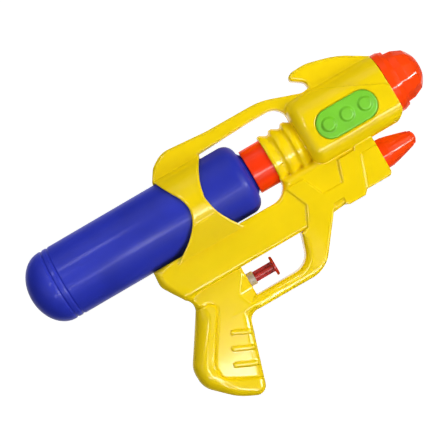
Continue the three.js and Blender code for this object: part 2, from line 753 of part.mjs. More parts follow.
function stud(x, face) {
  const edge = 0.35 * STUD_HEIGHT;
  const top = STUD_HEIGHT + 0.2;
  const profile = [[0, 0], [STUD_R, 0], [STUD_R, top - edge], [STUD_R - edge, top], [0, top]];
  const geometry = new THREE.LatheGeometry(profile.map(([r, h]) => new THREE.Vector2(r, h)), MEDIUM_SIDES);
  return toSolid(geometry.rotateX(Math.PI).translate(x, face + 0.2, SIDE_PANEL_Z));
}

// Tank: the turned wall of a bottle, open at the neck.
function tank() {
  const wall = TANK_WALL;
  const domeX = tankRearX + TANK_DOME;
  const dome = (inset, steps) =>
    Array.from({ length: steps + 1 }, (_, i) => {
      const a = (Math.PI / 2) * (i / steps);
      return [domeX - (TANK_DOME - inset) * Math.cos(a), (TANK_R - inset) * Math.sin(a)];
    });
  const grooves = [0, 1].flatMap((i) => {
    const x = domeX + 1 + i * TANK_GROOVE_PITCH;
    const bottom = [x + TANK_GROOVE_WIDTH / 2, TANK_R - TANK_GROOVE_DEPTH];
    return [[x, TANK_R], bottom, [x + TANK_GROOVE_WIDTH, TANK_R]];
  });
  const bore = TANK_NECK_R - wall;
  const outer = [
    ...dome(0, 6),
    ...grooves,
    [tankShoulderX - 1.6, TANK_R, TANK_SHOULDER_R],
    [tankShoulderX - 1.6, CAP_R],
    [tankShoulderX, TANK_NECK_R],
    [neckRimX, TANK_NECK_R],
  ];
  const inner = [
    [neckRimX, bore],
    [tankShoulderX - wall, bore],
    [tankShoulderX - 1.6 - wall, TANK_R - wall, TANK_SHOULDER_R - wall],
    ...dome(wall, 4).reverse(),
  ];
  return turned([...outer, ...inner], 0);
}

function tankCap() {
  const groove = CAP_R - CAP_GROOVE_DEPTH;
  const lip = [capLipX - FIT, capFlangeX];
  const cavity = TANK_NECK_R + FIT;
  const hole = capElbowR + FIT;
  return turned([
    [CAP_REAR_X, cavity],
    [CAP_REAR_X, CAP_R, 0.6],
    [lip[0], CAP_R],
    [lip[0], groove],
    [lip[1], groove],
    [lip[1], CAP_R],
    [capEndX, CAP_R],
    [capEndX, hole],
    [capFloorX, hole],
    [capFloorX, cavity],
  ]);
}

function gasket() {
  const rear = neckRimX + FIT / 2;
  const front = rear + GASKET;
  return turned([[rear, GASKET_HOLE_R], [rear, TANK_NECK_R], [front, TANK_NECK_R], [front, GASKET_HOLE_R]]);
}

// A bent tube with a bore, swept along a curve.
function hose(points, radius, bore, step = HOSE_STEP) {
  const path = new THREE.CatmullRomCurve3(points.map((p) => new THREE.Vector3(...p)), false, "centripetal");
  const circle = (r, sides) =>
    Array.from({ length: sides }, (_, i) => {
      const a = (2 * Math.PI * i) / sides;
      return new THREE.Vector2(r * Math.cos(a), r * Math.sin(a));
    });
  const section = new THREE.Shape(circle(radius, 8));
  section.holes.push(new THREE.Path(circle(bore, 8).reverse()));
  const steps = Math.round(path.getLength() / step);
  return toSolid(new THREE.ExtrudeGeometry(section, { steps, extrudePath: path, bevelEnabled: false }));
}

// Elbow through the cap: a spigot for the dip tube inside, a barb that points down outside.
function suctionElbow() {
  const flange = capFloorX - FIT / 2;
  const shoulder = flange - 1.5;
  const stem = turned(
    [
      [shoulder - BARB_LENGTH, 0],
      [shoulder - BARB_LENGTH, barbR],
      [shoulder, barbR],
      [shoulder, capElbowR + 1.2],
      [flange, capElbowR + 1.2],
      [flange, capElbowR],
      [capElbowX + capElbowR, capElbowR],
      [capElbowX + capElbowR, 0],
    ],
    0,
    SMALL_SIDES,
  );
  const low = -capElbowR - 3;
  const down = rod("z", capElbowR, low, 0, [capElbowX, 0]);
  const barb = rod("z", barbR, low - BARB_LENGTH, low, [capElbowX, 0]);
  const bore = rod("x", BARB_BORE_R, shoulder - BARB_LENGTH - 1, capElbowX, [0, 0], 8);
  const downBore = rod("z", BARB_BORE_R, low - BARB_LENGTH - 1, 0, [capElbowX, 0], 8);
  return join([stem, down, barb]).subtract(bore).subtract(downBore);
}

function dipTube() {
  const start = capFloorX - FIT / 2 - 1.5 - FIT;
  const end = tankRearX + TANK_WALL + DIP_END;
  const third = (start - end) / 3;
  const points = [
    [start, 0, 0],
    [start - BARB_LENGTH, 0, 0],
    [start - third, 0, -0.12 * DIP_DROOP],
    [end, 0, -DIP_DROOP],
  ];
  return hose(points, HOSE_R, HOSE_BORE_R, 2.5 * HOSE_STEP);
}

function suctionHose() {
  const top = -capElbowR - 3 - FIT;
  const end = inletX + ELBOW_REACH + FIT;
  const bend = top - 1.2 * BARB_LENGTH - SUCTION_Z;
  return hose(
    [
      [capElbowX, 0, top],
      [capElbowX, 0, top - 0.6 * BARB_LENGTH],
      [capElbowX, 0, top - 1.2 * BARB_LENGTH],
      [capElbowX - 0.29 * bend, 0, SUCTION_Z + 0.29 * bend],
      [capElbowX - bend, 0, SUCTION_Z],
      [capElbowX - 2 * bend, 0, SUCTION_Z],
      [end + BARB_LENGTH, 0, SUCTION_Z],
      [end, 0, SUCTION_Z],
    ],
    HOSE_R,
    HOSE_BORE_R,
  );
}

function deliveryHose() {
  const start = outletX + ELBOW_REACH + FIT;
  const end = muzzleShoulderX() - FIT;
  const rise = BARREL_Z - DELIVERY_Z;
  return hose(
    [
      [start, 0, DELIVERY_Z],
      [start + BARB_LENGTH, 0, DELIVERY_Z],
      [podRearX - 16, 0, DELIVERY_Z],
      [podRearX + 6, 0, DELIVERY_Z + 0.12 * rise],
      [podRearX + 22, 0, DELIVERY_Z + 0.5 * rise],
      [end - 2 * BARB_LENGTH - 10, 0, BARREL_Z - 0.12 * rise],
      [end - 2 * BARB_LENGTH, 0, BARREL_Z],
      [end - BARB_LENGTH, 0, BARREL_Z],
      [end, 0, BARREL_Z],
    ],
    HOSE_R,
    HOSE_BORE_R,
  );
}

// Pump: a cylinder with two valve chambers on its rear end.
function pumpCylinder() {
  const end = PUMP_REAR_X + PUMP_END;
  const tube = turned(
    [
      [PUMP_REAR_X, 0],
      [PUMP_REAR_X, pumpR],
      [pumpFrontX, pumpR],
      [pumpFrontX, 0],
    ],
    PUMP_Z,
    MEDIUM_SIDES,
  );
  const chambers = [inletX, outletX].map((x) => rod("z", valveR, PUMP_Z, valveTop, [x, 0]));
  const hollows = [inletX, outletX].map((x) => rod("z", VALVE_BORE_R, valveFloor, valveTop + 1, [x, 0]));
  const slot = block(
    [inletX - 0.7 * PORT_R, inletX + 0.7 * PORT_R],
    [-0.9 * VALVE_BORE_R, 0.9 * VALVE_BORE_R],
    [PUMP_Z, valveFloor + 1],
  );
  const bore = rod("x", PUMP_BORE_R, end, pumpFrontX + 1, [0, PUMP_Z], MEDIUM_SIDES);
  const port = rod("z", PORT_R, PUMP_Z, valveFloor + 1, [outletX, 0]);
  return join([tube, ...chambers]).subtract(join([bore, slot, port, ...hollows]));
}

// Elbow on a valve chamber: its spigot stops the ball, its barb points forwards.
function valveElbow(x, ballZ, barbZ) {
  const low = ballZ + VALVE_BALL_R + VALVE_LIFT;
  const seat = valveTop + FIT / 2;
  const shoulder = x + ELBOW_REACH;
  const spigot = rod("z", VALVE_BORE_R - FIT, low, seat, [x, 0]);
  const flange = rod("z", valveR, seat, seat + 1.2, [x, 0]);
  const riser = rod("z", ELBOW_R, seat, barbZ + ELBOW_R, [x, 0]);
  const arm = rod("x", ELBOW_R, x, shoulder, [0, barbZ]);
  const barb = rod("x", barbR, x, shoulder + BARB_LENGTH, [0, barbZ]);
  const up = rod("z", BARB_BORE_R, low - 1, barbZ, [x, 0], 8);
  const along = rod("x", BARB_BORE_R, x, shoulder + BARB_LENGTH + 1, [0, barbZ], 8);
  return join([spigot, flange, riser, arm, barb]).subtract(up).subtract(along);
}

function ball(x, z) {
  return toSolid(new THREE.SphereGeometry(VALVE_BALL_R, SMALL_SIDES, 8).translate(x, 0, z));
}

function gland() {
  const rear = pumpFrontX - GLAND_SPIGOT;
  const flange = [pumpFrontX + FIT / 2, pumpFrontX + FIT / 2 + GLAND_FLANGE];
  const front = MOUTH_X + GLAND_SHOWN;
  return turned(
    [
      [rear, glandBoreR],
      [rear, PUMP_BORE_R - FIT],
      [flange[0], PUMP_BORE_R - FIT],
      [flange[0], pumpR],
      [flange[1], pumpR],
      [flange[1], glandR],
      [front - 0.3, glandR],
      [front, glandR - 0.3],
      [front, glandBoreR],
    ],
    PUMP_Z,
    MEDIUM_SIDES,
  );
}

// Trigger: piston, cross-shaped stem and finger pad in one moulding.
function trigger() {
  const pistonR = PUMP_BORE_R - FIT;
  const grooveR = ringOuterR - 2 * RING_WIRE_R - FIT / 2;
  const middle = (pistonFrontX + pistonRearX) / 2;
  const half = RING_WIRE_R + FIT;
  const piston = turned(
    [
      [pistonRearX, 0],
      [pistonRearX, pistonR],
      [middle - half, pistonR],
      [middle - half, grooveR],
      [middle + half, grooveR],
      [middle + half, pistonR],
      [pistonFrontX, pistonR],
      [pistonFrontX, 0],
    ],
    PUMP_Z,
    MEDIUM_SIDES,
  );
  const arm = STEM_WIDTH / 2;
  const web = STEM_WEB / 2;
  const reach = [pistonFrontX - 1, fingerPadX + 1];
  const flat = block(reach, [-arm, arm], [PUMP_Z - web, PUMP_Z + web]);
  const upright = block(reach, [-web, web], [PUMP_Z - arm, PUMP_Z + arm]);
  const front = fingerPadX + FINGER_PAD;
  const pad = turned(
    [
      [fingerPadX, 0],
      [fingerPadX, FINGER_PAD_R],
      [front - 0.6, FINGER_PAD_R],
      [front, FINGER_PAD_R - 0.6],
      [front, 0],
    ],
    PUMP_Z,
    MEDIUM_SIDES,
  );
  return join([piston, flat, upright, pad]);
}

function pistonRing() {
  const geometry = new THREE.TorusGeometry(ringOuterR - RING_WIRE_R, RING_WIRE_R, 6, MEDIUM_SIDES);
  return toSolid(geometry.rotateY(Math.PI / 2).translate((pistonFrontX + pistonRearX) / 2, 0, PUMP_Z));
}

class Helix extends THREE.Curve {
  getPoint(t) {
    const margin = FIT + SPRING_WIRE_R;
    const rear = PUMP_REAR_X + PUMP_END + margin;
    const front = pistonRearX - margin;
    const r = PUMP_BORE_R - 2 * FIT - SPRING_WIRE_R;
    const a = 2 * Math.PI * SPRING_COILS * t;
    return new THREE.Vector3(rear + (front - rear) * t, r * Math.cos(a), PUMP_Z + r * Math.sin(a));
  }
}

function returnSpring() {
  const wire = Array.from({ length: 5 }, (_, i) => {
    const a = (2 * Math.PI * i) / 5;
    return new THREE.Vector2(SPRING_WIRE_R * Math.cos(a), SPRING_WIRE_R * Math.sin(a));
  });
  const path = new Helix();
  const options = { steps: 11 * SPRING_COILS, extrudePath: path, bevelEnabled: false };
  const pitch = (path.getPoint(1).x - path.getPoint(0).x) / SPRING_COILS;
  console.log("return_spring: least gap between turns", (pitch - 2 * SPRING_WIRE_R).toFixed(2), "mm");
  return toSolid(new THREE.ExtrudeGeometry(new THREE.Shape(wire), options));
}

// A solid with flats about a line along X, from corners [x, distance from the line to a flat].
function faceted(corners, z) {
  const half = Math.PI / NOSE_SIDES;
  const points = corners.map(([x, r]) => new THREE.Vector2(x, r / Math.cos(half)));
  return turnedPoints(points, z, NOSE_SIDES, half);
}

// Muzzle: a cap with a faceted nose that snaps behind the pod's front wall, with the jet down its middle.
function muzzleShoulderX() {
  return podFrontX - WALL - FIT - RETAINER - 3;
}

function muzzle() {
  const step = muzzleX + MUZZLE_FLANGE + 3;
  const tip = step + MUZZLE_NOSE;
  const wallX = podFrontX - WALL - FIT;
  const rear = wallX - RETAINER;
  const shoulder = muzzleShoulderX();
  const hollowR = MUZZLE_SPIGOT_R - 2;
  const tubeR = capElbowR;
  const whole = turned([
    [tip, JET_R],
    [tip, 1.05 * MUZZLE_NOSE_R],
    [step, 1.05 * MUZZLE_NOSE_R],
    [step - 0.4, 0.9 * MUZZLE_R],
    [muzzleX + MUZZLE_FLANGE + 1, 0.95 * MUZZLE_R, 1],
    [muzzleX + MUZZLE_FLANGE - 1, MUZZLE_R, 1],
    [muzzleX, MUZZLE_R],
    [muzzleX, MUZZLE_SPIGOT_R],
    [wallX, MUZZLE_SPIGOT_R],
    [wallX, MUZZLE_SPIGOT_R + RETAINER_RISE],
    [rear, MUZZLE_SPIGOT_R + RETAINER_RISE],
    [rear, hollowR],
    [muzzleX + MUZZLE_FLANGE, hollowR],
    [step + 0.5 * MUZZLE_NOSE, tubeR],
    [shoulder, tubeR],
    [shoulder, barbR],
    [shoulder - BARB_LENGTH, barbR],
    [shoulder - BARB_LENGTH, BARB_BORE_R],
    [tip - 3, BARB_BORE_R],
  ], BARREL_Z);
  const behind = shoulder - 2 * BARB_LENGTH;
  const flats = faceted([
    [behind, 0],
    [behind, 2 * MUZZLE_R],
    [step, 2 * MUZZLE_R],
    [step, MUZZLE_NOSE_R],
    [step + 0.29 * MUZZLE_NOSE, 0.98 * MUZZLE_NOSE_R],
    [tip - 0.31 * MUZZLE_NOSE, 0.8 * MUZZLE_NOSE_R],
    [tip - 0.19 * MUZZLE_NOSE, 0.67 * MUZZLE_NOSE_R],
    [tip - 0.06 * MUZZLE_NOSE, 0.46 * MUZZLE_NOSE_R],
    [tip, 0.23 * MUZZLE_NOSE_R],
    [tip, 0],
  ], BARREL_Z);
  return whole.intersect(flats);
}

// Lower nozzle: a second barrel for show, closed behind its short mouth.
function lowerNozzle() {
  const tip = nozzleX + NOZZLE_LENGTH;
  const wallX = foreFrontX - WALL - FIT;
  const rear = wallX - RETAINER;
  const hollowR = NOZZLE_SPIGOT_R - 2;
  const whole = turned([
    [tip - 6, 0],
    [tip - 6, JET_R],
    [tip, JET_R],
    [tip, 0.5 * NOZZLE_R],
    [nozzleX + 0.4 * NOZZLE_LENGTH, 0.9 * NOZZLE_R],
    [nozzleX, NOZZLE_R],
    [nozzleX, NOZZLE_SPIGOT_R],
    [wallX, NOZZLE_SPIGOT_R],
    [wallX, NOZZLE_SPIGOT_R + RETAINER_RISE],
    [rear, NOZZLE_SPIGOT_R + RETAINER_RISE],
    [rear, hollowR],
    [nozzleX + 0.3 * NOZZLE_LENGTH, hollowR],
    [nozzleX + 0.6 * NOZZLE_LENGTH, 2 * JET_R],
    [nozzleX + 0.6 * NOZZLE_LENGTH, 0],
  ], NOZZLE_Z, MEDIUM_SIDES);
  const flats = faceted([
    [rear - 1, 0],
    [rear - 1, 1.33 * NOZZLE_R],
    [tip - 0.21 * NOZZLE_LENGTH, 0.59 * NOZZLE_R],
    [tip - 0.08 * NOZZLE_LENGTH, 0.41 * NOZZLE_R],
    [tip - 0.02 * NOZZLE_LENGTH, 0.22 * NOZZLE_R],
    [tip, 0.14 * NOZZLE_R],
    [tip, 0],
  ], NOZZLE_Z);
  return whole.intersect(flats);
}

// Screw: a round head, a plain shank and a point.
function screw([x, z]) {
  const seat = SCREW_SEAT_Y + FIT / 2;
  const top = seat + SCREW_HEAD;
  const profile = [
    [0, -SCREW_BITE],
    [SCREW_R, -SCREW_BITE + 1.2],
    [SCREW_R, seat],
    [SCREW_HEAD_R, seat],
    [SCREW_HEAD_R, top - 0.5],
    [SCREW_HEAD_R - 0.8, top],
    [0, top],
  ];
  const lathe = new THREE.LatheGeometry(profile.map(([r, y]) => new THREE.Vector2(r, y)), SMALL_SIDES);
  return toSolid(lathe.translate(x, 0, z));
}

const halves = bodyHalves();
const panel = sidePanel();
const pieces = [
  toMesh("housing_right", halves.right, YELLOW),
  toMesh("housing_left", halves.left, YELLOW),
  toMesh("side_panel_right", panel, GREEN),
  toMesh("side_panel_left", mirrored(panel), GREEN),
  toMesh("muzzle", muzzle(), ORANGE),
  toMesh("lower_nozzle", lowerNozzle(), ORANGE),
  toMesh("tank", tank(), BLUE),
  toMesh("tank_gasket", gasket(), RUBBER),
  toMesh("tank_cap", tankCap(), ORANGE),
  toMesh("suction_elbow", suctionElbow(), MILKY),
  toMesh("dip_tube", dipTube(), CLEAR_HOSE),
  toMesh("suction_hose", suctionHose(), CLEAR_HOSE),
  toMesh("pump_cylinder", pumpCylinder(), MILKY),
  toMesh("inlet_elbow", valveElbow(inletX, inletBallZ, SUCTION_Z), MILKY),
  toMesh("outlet_elbow", valveElbow(outletX, outletBallZ, DELIVERY_Z), MILKY),
  toMesh("inlet_ball", ball(inletX, inletBallZ), MILKY),
  toMesh("outlet_ball", ball(outletX, outletBallZ), MILKY),
  toMesh("delivery_hose", deliveryHose(), CLEAR_HOSE),
  toMesh("gland", gland(), MILKY),
  toMesh("trigger", trigger(), RED),
  toMesh("piston_ring", pistonRing(), RUBBER),
  toMesh("return_spring", returnSpring(), STEEL),
  ...Object.entries(SCREW_PLACES).map(([name, place]) => toMesh(`screw_${name}`, screw(place), STEEL)),
];

const squirter = new THREE.Group();
squirter.add(...pieces);
squirter.position.set(-HOLD_X, 0, -HOLD_Z);
export default squirter;
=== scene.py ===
"""Toy water squirter: the pieces that show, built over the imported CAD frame.

Shapes are worked out in millimetres in the moulding's own axes, with x along the tank towards the
muzzle, z up from the tank's axis and y to the left, and then moved to the frame in metres.
"""

import math

import bpy
import numpy as np
from mathutils import Matrix


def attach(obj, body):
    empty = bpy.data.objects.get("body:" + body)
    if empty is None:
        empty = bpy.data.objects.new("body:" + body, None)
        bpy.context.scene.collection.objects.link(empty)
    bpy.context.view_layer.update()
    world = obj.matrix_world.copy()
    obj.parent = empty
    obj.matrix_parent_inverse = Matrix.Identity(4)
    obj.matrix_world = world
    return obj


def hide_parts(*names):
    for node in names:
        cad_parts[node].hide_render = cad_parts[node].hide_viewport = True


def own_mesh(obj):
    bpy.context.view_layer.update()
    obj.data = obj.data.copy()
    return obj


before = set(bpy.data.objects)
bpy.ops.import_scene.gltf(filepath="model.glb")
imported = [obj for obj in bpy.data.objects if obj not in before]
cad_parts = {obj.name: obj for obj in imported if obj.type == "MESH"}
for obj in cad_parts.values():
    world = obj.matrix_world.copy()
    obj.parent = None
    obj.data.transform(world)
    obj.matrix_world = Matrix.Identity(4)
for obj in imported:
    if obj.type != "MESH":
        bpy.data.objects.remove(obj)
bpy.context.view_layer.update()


# Housing: two glossy yellow mouldings that part on the middle plane, joined by screws from the left.
# One moulding carries the grip, guard, beam, fore-end, pod, ribbed collar, carrying bar and fin,
# and the hoop that the tank slides through.
def outline(corners):
    """Closed line through corners (a, b, fillet), each fillet a fine arc."""
    line = []
    for i, corner in enumerate(corners):
        point = np.array(corner[:2], float)
        fillet = corner[2] if len(corner) > 2 else 0
        if not fillet:
            line.append(point)
            continue
        back = np.array(corners[i - 1][:2]) - point
        on = np.array(corners[(i + 1) % len(corners)][:2]) - point
        back /= np.linalg.norm(back)
        on /= np.linalg.norm(on)
        half = math.acos(np.clip(back @ on, -1, 1)) / 2
        middle = (back + on) / np.linalg.norm(back + on)
        centre = point + middle * fillet / math.sin(half)
        arm = point + back * fillet / math.tan(half) - centre
        turn = np.sign(on[0] * back[1] - on[1] * back[0]) * (math.pi - 2 * half)
        steps = max(2, math.ceil(abs(turn) / 0.1))
        for k in range(steps + 1):
            c, s = math.cos(turn * k / steps), math.sin(turn * k / steps)
            line.append(centre + (arm[0] * c - arm[1] * s, arm[0] * s + arm[1] * c))
    return np.array(line)


def flat_field(line, step=0.2, margin=5.0):
    """Signed distance to a closed line, as a function that looks it up in a fine table."""
    low = line.min(0) - margin
    count = np.ceil((np.ptp(line, 0) + 2 * margin) / step).astype(int) + 1
    a = (low[0] + step * np.arange(count[0]))[:, None]
    b = (low[1] + step * np.arange(count[1]))[None, :]
    nearest = np.full(count, 1e9)
    inside = np.zeros(count, bool)
    for (p0, p1), (q0, q1) in zip(line, np.roll(line, -1, 0)):
        e0, e1 = q0 - p0, q1 - p1
        t = np.clip(((a - p0) * e0 + (b - p1) * e1) / (e0 * e0 + e1 * e1 + 1e-12), 0, 1)
        nearest = np.minimum(nearest, (a - p0 - t * e0) ** 2 + (b - p1 - t * e1) ** 2)
        if p1 != q1:
            inside ^= ((b >= p1) != (b >= q1)) & (a < p0 + e0 * (b - p1) / e1)
    table = (np.sqrt(nearest) * np.where(inside, -1, 1)).astype(np.float32)

    def look(u, v):
        s = np.clip((u - low[0]) / step, 0, count[0] - 1.01)
        t = np.clip((v - low[1]) / step, 0, count[1] - 1.01)
        i, j = s.astype(np.int32), t.astype(np.int32)
        f, g = s - i, t - j
        near = table[i, j] * (1 - f) + table[i + 1, j] * f
        far = table[i, j + 1] * (1 - f) + table[i + 1, j + 1] * f
        beyond = np.hypot(u - low[0] - s * step, v - low[1] - t * step)
        return near * (1 - g) + far * g + beyond

    return look


def shape(*corners):
    """Signed distance to the closed line through some corners."""
    return flat_field(outline(corners))


def plate(flat, y, half, edge):
    """Distance to a plate of a flat outline, half its width each way, with a round rim."""
    a = flat + edge
    b = y - half + edge
    return np.minimum(np.maximum(a, b), 0) + np.hypot(np.maximum(a, 0), np.maximum(b, 0)) - edge


def either(a, b, fillet):
    """Two forms joined, with a round fillet where they meet."""
    return np.minimum(a, b) - np.maximum(fillet - np.abs(a - b), 0) ** 2 / (4 * fillet)


def both(a, b, edge):
    """What two forms share, with a round edge where they meet."""
    return np.maximum(a, b) + np.maximum(edge - np.abs(a - b), 0) ** 2 / (4 * edge)


def less(a, b, edge):
    """The first form with the second cut away."""
    return both(a, -b, edge)


def ramp(t):
    """Smooth step from 0 to 1."""
    t = np.clip(t, 0, 1)
    return t * t * (3 - 2 * t)


def contour(field, low, high, step):
    """Points and quads of the surface where a field is zero; creases keep their edges."""
    axes = [np.arange(a, b + step, step) for a, b in zip(low, high)]
    count = [len(axis) for axis in axes]
    values = field(axes[0][:, None, None], axes[1][None, :, None], axes[2][None, None, :])
    inside = values < 0
    # Where the surface crosses each edge of the grid.
    edges = []
    for axis in range(3):
        here = [slice(None)] * 3
        there = [slice(None)] * 3
        here[axis], there[axis] = slice(None, -1), slice(1, None)
        nodes = np.argwhere(inside[tuple(here)] != inside[tuple(there)])
        across = [k for k in range(3) if k != axis]
        nodes = nodes[np.all([(nodes[:, k] > 0) & (nodes[:, k] < count[k] - 1) for k in across], 0)]
        ends = nodes + np.eye(3, dtype=int)[axis]
        v0, v1 = values[tuple(nodes.T)], values[tuple(ends.T)]
        point = np.stack([axes[k][nodes[:, k]] for k in range(3)], 1)
        t0, t1 = np.zeros(len(nodes)), np.ones(len(nodes))
        for _ in range(3):
            t = t0 + (t1 - t0) * np.clip(v0 / (v0 - v1), 0.02, 0.98)
            probe = point.copy()
            probe[:, axis] += t * step
            value = field(*probe.T)
            same = (value < 0) == (v0 < 0)
            t0, v0 = np.where(same, t, t0), np.where(same, value, v0)
            t1, v1 = np.where(same, t1, t), np.where(same, v1, value)
        edges.append((axis, nodes, probe, inside[tuple(nodes.T)]))
    # Which way the surface faces at each crossing.
    points = np.concatenate([e[2] for e in edges])
    slope = np.empty_like(points)
    for k in range(3):
        nudge = np.eye(3)[k] * 0.04
        slope[:, k] = field(*(points + nudge).T) - field(*(points - nudge).T)
    slope /= np.linalg.norm(slope, axis=1)[:, None] + 1e-12
    # The four cells round each crossed edge, which its quad joins.
    corners = []
    for axis, nodes, _, _ in edges:
        u, v = (axis + 1) % 3, (axis + 2) % 3
        ring = [nodes - du * np.eye(3, dtype=int)[u] - dv * np.eye(3, dtype=int)[v]
                for du, dv in ((1, 1), (0, 1), (0, 0), (1, 0))]
        corners.append(np.stack([np.ravel_multi_index(c.T, count) for c in ring], 1))
    corners = np.concatenate(corners)
    cells, index = np.unique(corners, return_inverse=True)
    index = index.reshape(corners.shape)
    total = np.bincount(index.ravel(), minlength=len(cells))

    def gather(per_edge):
        return np.bincount(index.ravel(), np.repeat(per_edge, 4), len(cells))

    # One point for each cell, on the planes through its crossings as nearly as they allow.
    middle = np.stack([gather(points[:, k]) for k in range(3)], 1) / total[:, None]
    square = np.empty((len(cells), 3, 3))
    for i in range(3):
        for j in range(3):
            square[:, i, j] = gather(slope[:, i] * slope[:, j])
    reach = (slope * points).sum(1)
    pull = np.stack([gather(slope[:, k] * reach) for k in range(3)], 1)
    pull -= np.einsum("nij,nj->ni", square, middle)
    move = np.linalg.solve(square + 0.06 * np.eye(3), pull[:, :, None])[:, :, 0]
    cell = np.stack(np.unravel_index(cells, count), 1)
    base = np.stack([axes[k][cell[:, k]] for k in range(3)], 1)
    vertices = np.clip(middle + move, base, base + step)
    flip = np.concatenate([e[3] for e in edges])
    quads = np.where(flip[:, None], index, index[:, ::-1])
    return vertices, quads


grip_middle = np.array((-38.0, 0.0, -92.0))  # where the frame has its origin


def to_object(name, vertices, faces, material, crease=38):
    """A smooth-shaded object from points in millimetres, moved to the frame in metres."""
    mesh = bpy.data.meshes.new(name)
    placed = (np.asarray(vertices, float) - grip_middle) / 1000
    mesh.from_pydata(placed.tolist(), [], [list(map(int, face)) for face in faces])
    mesh.update()
    mesh.polygons.foreach_set("use_smooth", [True] * len(mesh.polygons))
    mesh.set_sharp_from_angle(angle=math.radians(crease))
    mesh.materials.append(material)
    made = bpy.data.objects.new(name, mesh)
    bpy.context.scene.collection.objects.link(made)
    return made


def plastic(name, colour, roughness, mottle=0.05, grain=0.03, grain_size=0.0006, clear=0.0):
    """Moulded plastic: colour that drifts a little, uneven gloss and a faint grain."""
    material = bpy.data.materials.new(name)
    material.use_nodes = True
    nodes, links = material.node_tree.nodes, material.node_tree.links
    surface = nodes["Principled BSDF"]
    place = nodes.new("ShaderNodeTexCoord")
    cloud = nodes.new("ShaderNodeTexNoise")
    cloud.inputs["Scale"].default_value = 28
    cloud.inputs["Detail"].default_value = 4
    tint = nodes.new("ShaderNodeValToRGB")
    for stop, share in zip(tint.color_ramp.elements, (1 - mottle, 1 + mottle)):
        stop.color = [min(c * share, 1) for c in colour] + [1]
    tint.color_ramp.elements[0].position = 0.3
    tint.color_ramp.elements[1].position = 0.7
    links.new(place.outputs["Object"], cloud.inputs["Vector"])
    links.new(cloud.outputs["Fac"], tint.inputs["Fac"])
    links.new(tint.outputs["Color"], surface.inputs["Base Color"])
    smear = nodes.new("ShaderNodeTexNoise")
    smear.inputs["Scale"].default_value = 110
    smear.inputs["Detail"].default_value = 3
    gloss = nodes.new("ShaderNodeMapRange")
    gloss.inputs["To Min"].default_value = roughness * 0.8
    gloss.inputs["To Max"].default_value = roughness * 1.2
    links.new(place.outputs["Object"], smear.inputs["Vector"])
    links.new(smear.outputs["Fac"], gloss.inputs["Value"])
    links.new(gloss.outputs["Result"], surface.inputs["Roughness"])
    speck = nodes.new("ShaderNodeTexNoise")
    speck.inputs["Scale"].default_value = 1 / grain_size
    bump = nodes.new("ShaderNodeBump")
    bump.inputs["Strength"].default_value = grain
    bump.inputs["Distance"].default_value = 0.0004
    links.new(place.outputs["Object"], speck.inputs["Vector"])
    links.new(speck.outputs["Fac"], bump.inputs["Height"])
    links.new(bump.outputs["Normal"], surface.inputs["Normal"])
    surface.inputs["Specular IOR Level"].default_value = 0.5
    surface.inputs["Transmission Weight"].default_value = clear
    return material


yellow = plastic("yellow_shell", (0.87, 0.62, 0.001), 0.16)

hoop_radius = 27.15
tank_room_radius = 25.3
cap_rear_x = 31.4
collar_rear_x = 46.2
pod_rear_x = 70.2
pod_front_x = 135.5
nose_z = 5.3  # axis of the barrel and the muzzle
cone_z = -32.9  # axis of the lower nozzle
pump_z = -60.0  # axis of the plunger and the pump
spine_half, beam_half, grip_half, bow_half = 7.0, 15.0, 11.8, 11.5  # half widths
parting_y = 0.1
pocket_radius, pocket_floor_y = 3.3, 3.4
panel_seat_y = 22.4

# Side views (x, z), lathe lines (x, radius) and cross sections (y, z); a third value is a fillet.
spine_flat = shape(
    (-27.4, 17.3), (-27, 25.5, 6), (-21.6, 34.2, 12), (-12, 40.2, 16), (20, 37.4, 60), (60.2, 36.9, 45),
    (86.5, 27.4, 6), (91.6, 28.2, 1), (91.2, 32.6, 4.5), (81.4, 39.4, 2.4), (86.5, 42.5, 5), (97, 43.05, 25),
    (118.2, 37.4, 60), (pod_front_x, 26.3), (pod_front_x, nose_z), (pod_rear_x, nose_z),
    (pod_rear_x, 28.2, 10), (46.2, 28.4, 60), (8, 26.8), (8, 17.3),
)
barrel_round = shape((80, -9), (80, 22.5), (127.5, 22.5), (pod_front_x, 21.8, 0.8), (pod_front_x, -9))
pod_section = shape((-4, -20), (23.5, -20, 12), (23.5, 27.4, 21), (-4, 27.4))
crease_flat = shape(
    (40, 40), (88, 40), (90, 26.2, 4), (98, 23.1, 30), (119.6, 12.3, 60), (145, -1.4), (145, -60), (40, -60),
)
collar_crest, collar_valley = 17.8, 15.6
collar_round = shape(
    (collar_rear_x, -9), (collar_rear_x, collar_crest, 1), (48.6, collar_crest, 1),
    (52.4, collar_valley, 1.2), (53.6, collar_valley, 0.8), (55.2, collar_crest, 0.8),
    (57.4, collar_crest, 1), (61.2, collar_valley, 1.2), (62.4, collar_valley, 0.8), (64, collar_crest, 0.8),
    (66.2, collar_crest, 1), (69.6, collar_valley, 1.2), (82, collar_valley), (82, -9),
)
beam_flat = shape(
    (-55, -24.3, 1), (collar_rear_x, -25.3, 12), (collar_rear_x, -14.4, 0.5), (109, -14.4), (109, -45.2),
    (62.2, -49.7), (-45.8, -49.7, 1), (-50.6, -43.6, 10), (-56, -34.9, 9),
)
front_flat = shape(
    (-28.4, -21), (95.6, -21, 0.8), (97.4, -17, 0.8), (109.9, -17), (109.9, -47.2, 3), (90.8, -47.2, 1.2),
    (87.8, -50, 1.2), (75.8, -50, 1.2), (73.8, -47.7, 0.6), (65.8, -47.7, 3), (42, -78.8, 21),
    (-14.6, -78.8, 8), (-18.9, -92.3), (-28.4, -92.3),
)
finger_flat = shape(
    (-60, -70.3), (33.6, -70.3, 13), (40.2, -50.4), (45, -49.2), (51.6, -36.4, 1.5), (45, -20.5), (45, -5),
    (-60, -5),
)
trapezium_flat = shape((55, -16), (86.2, -16), (79.6, -36.4, 1), (64.2, -36.4, 1))
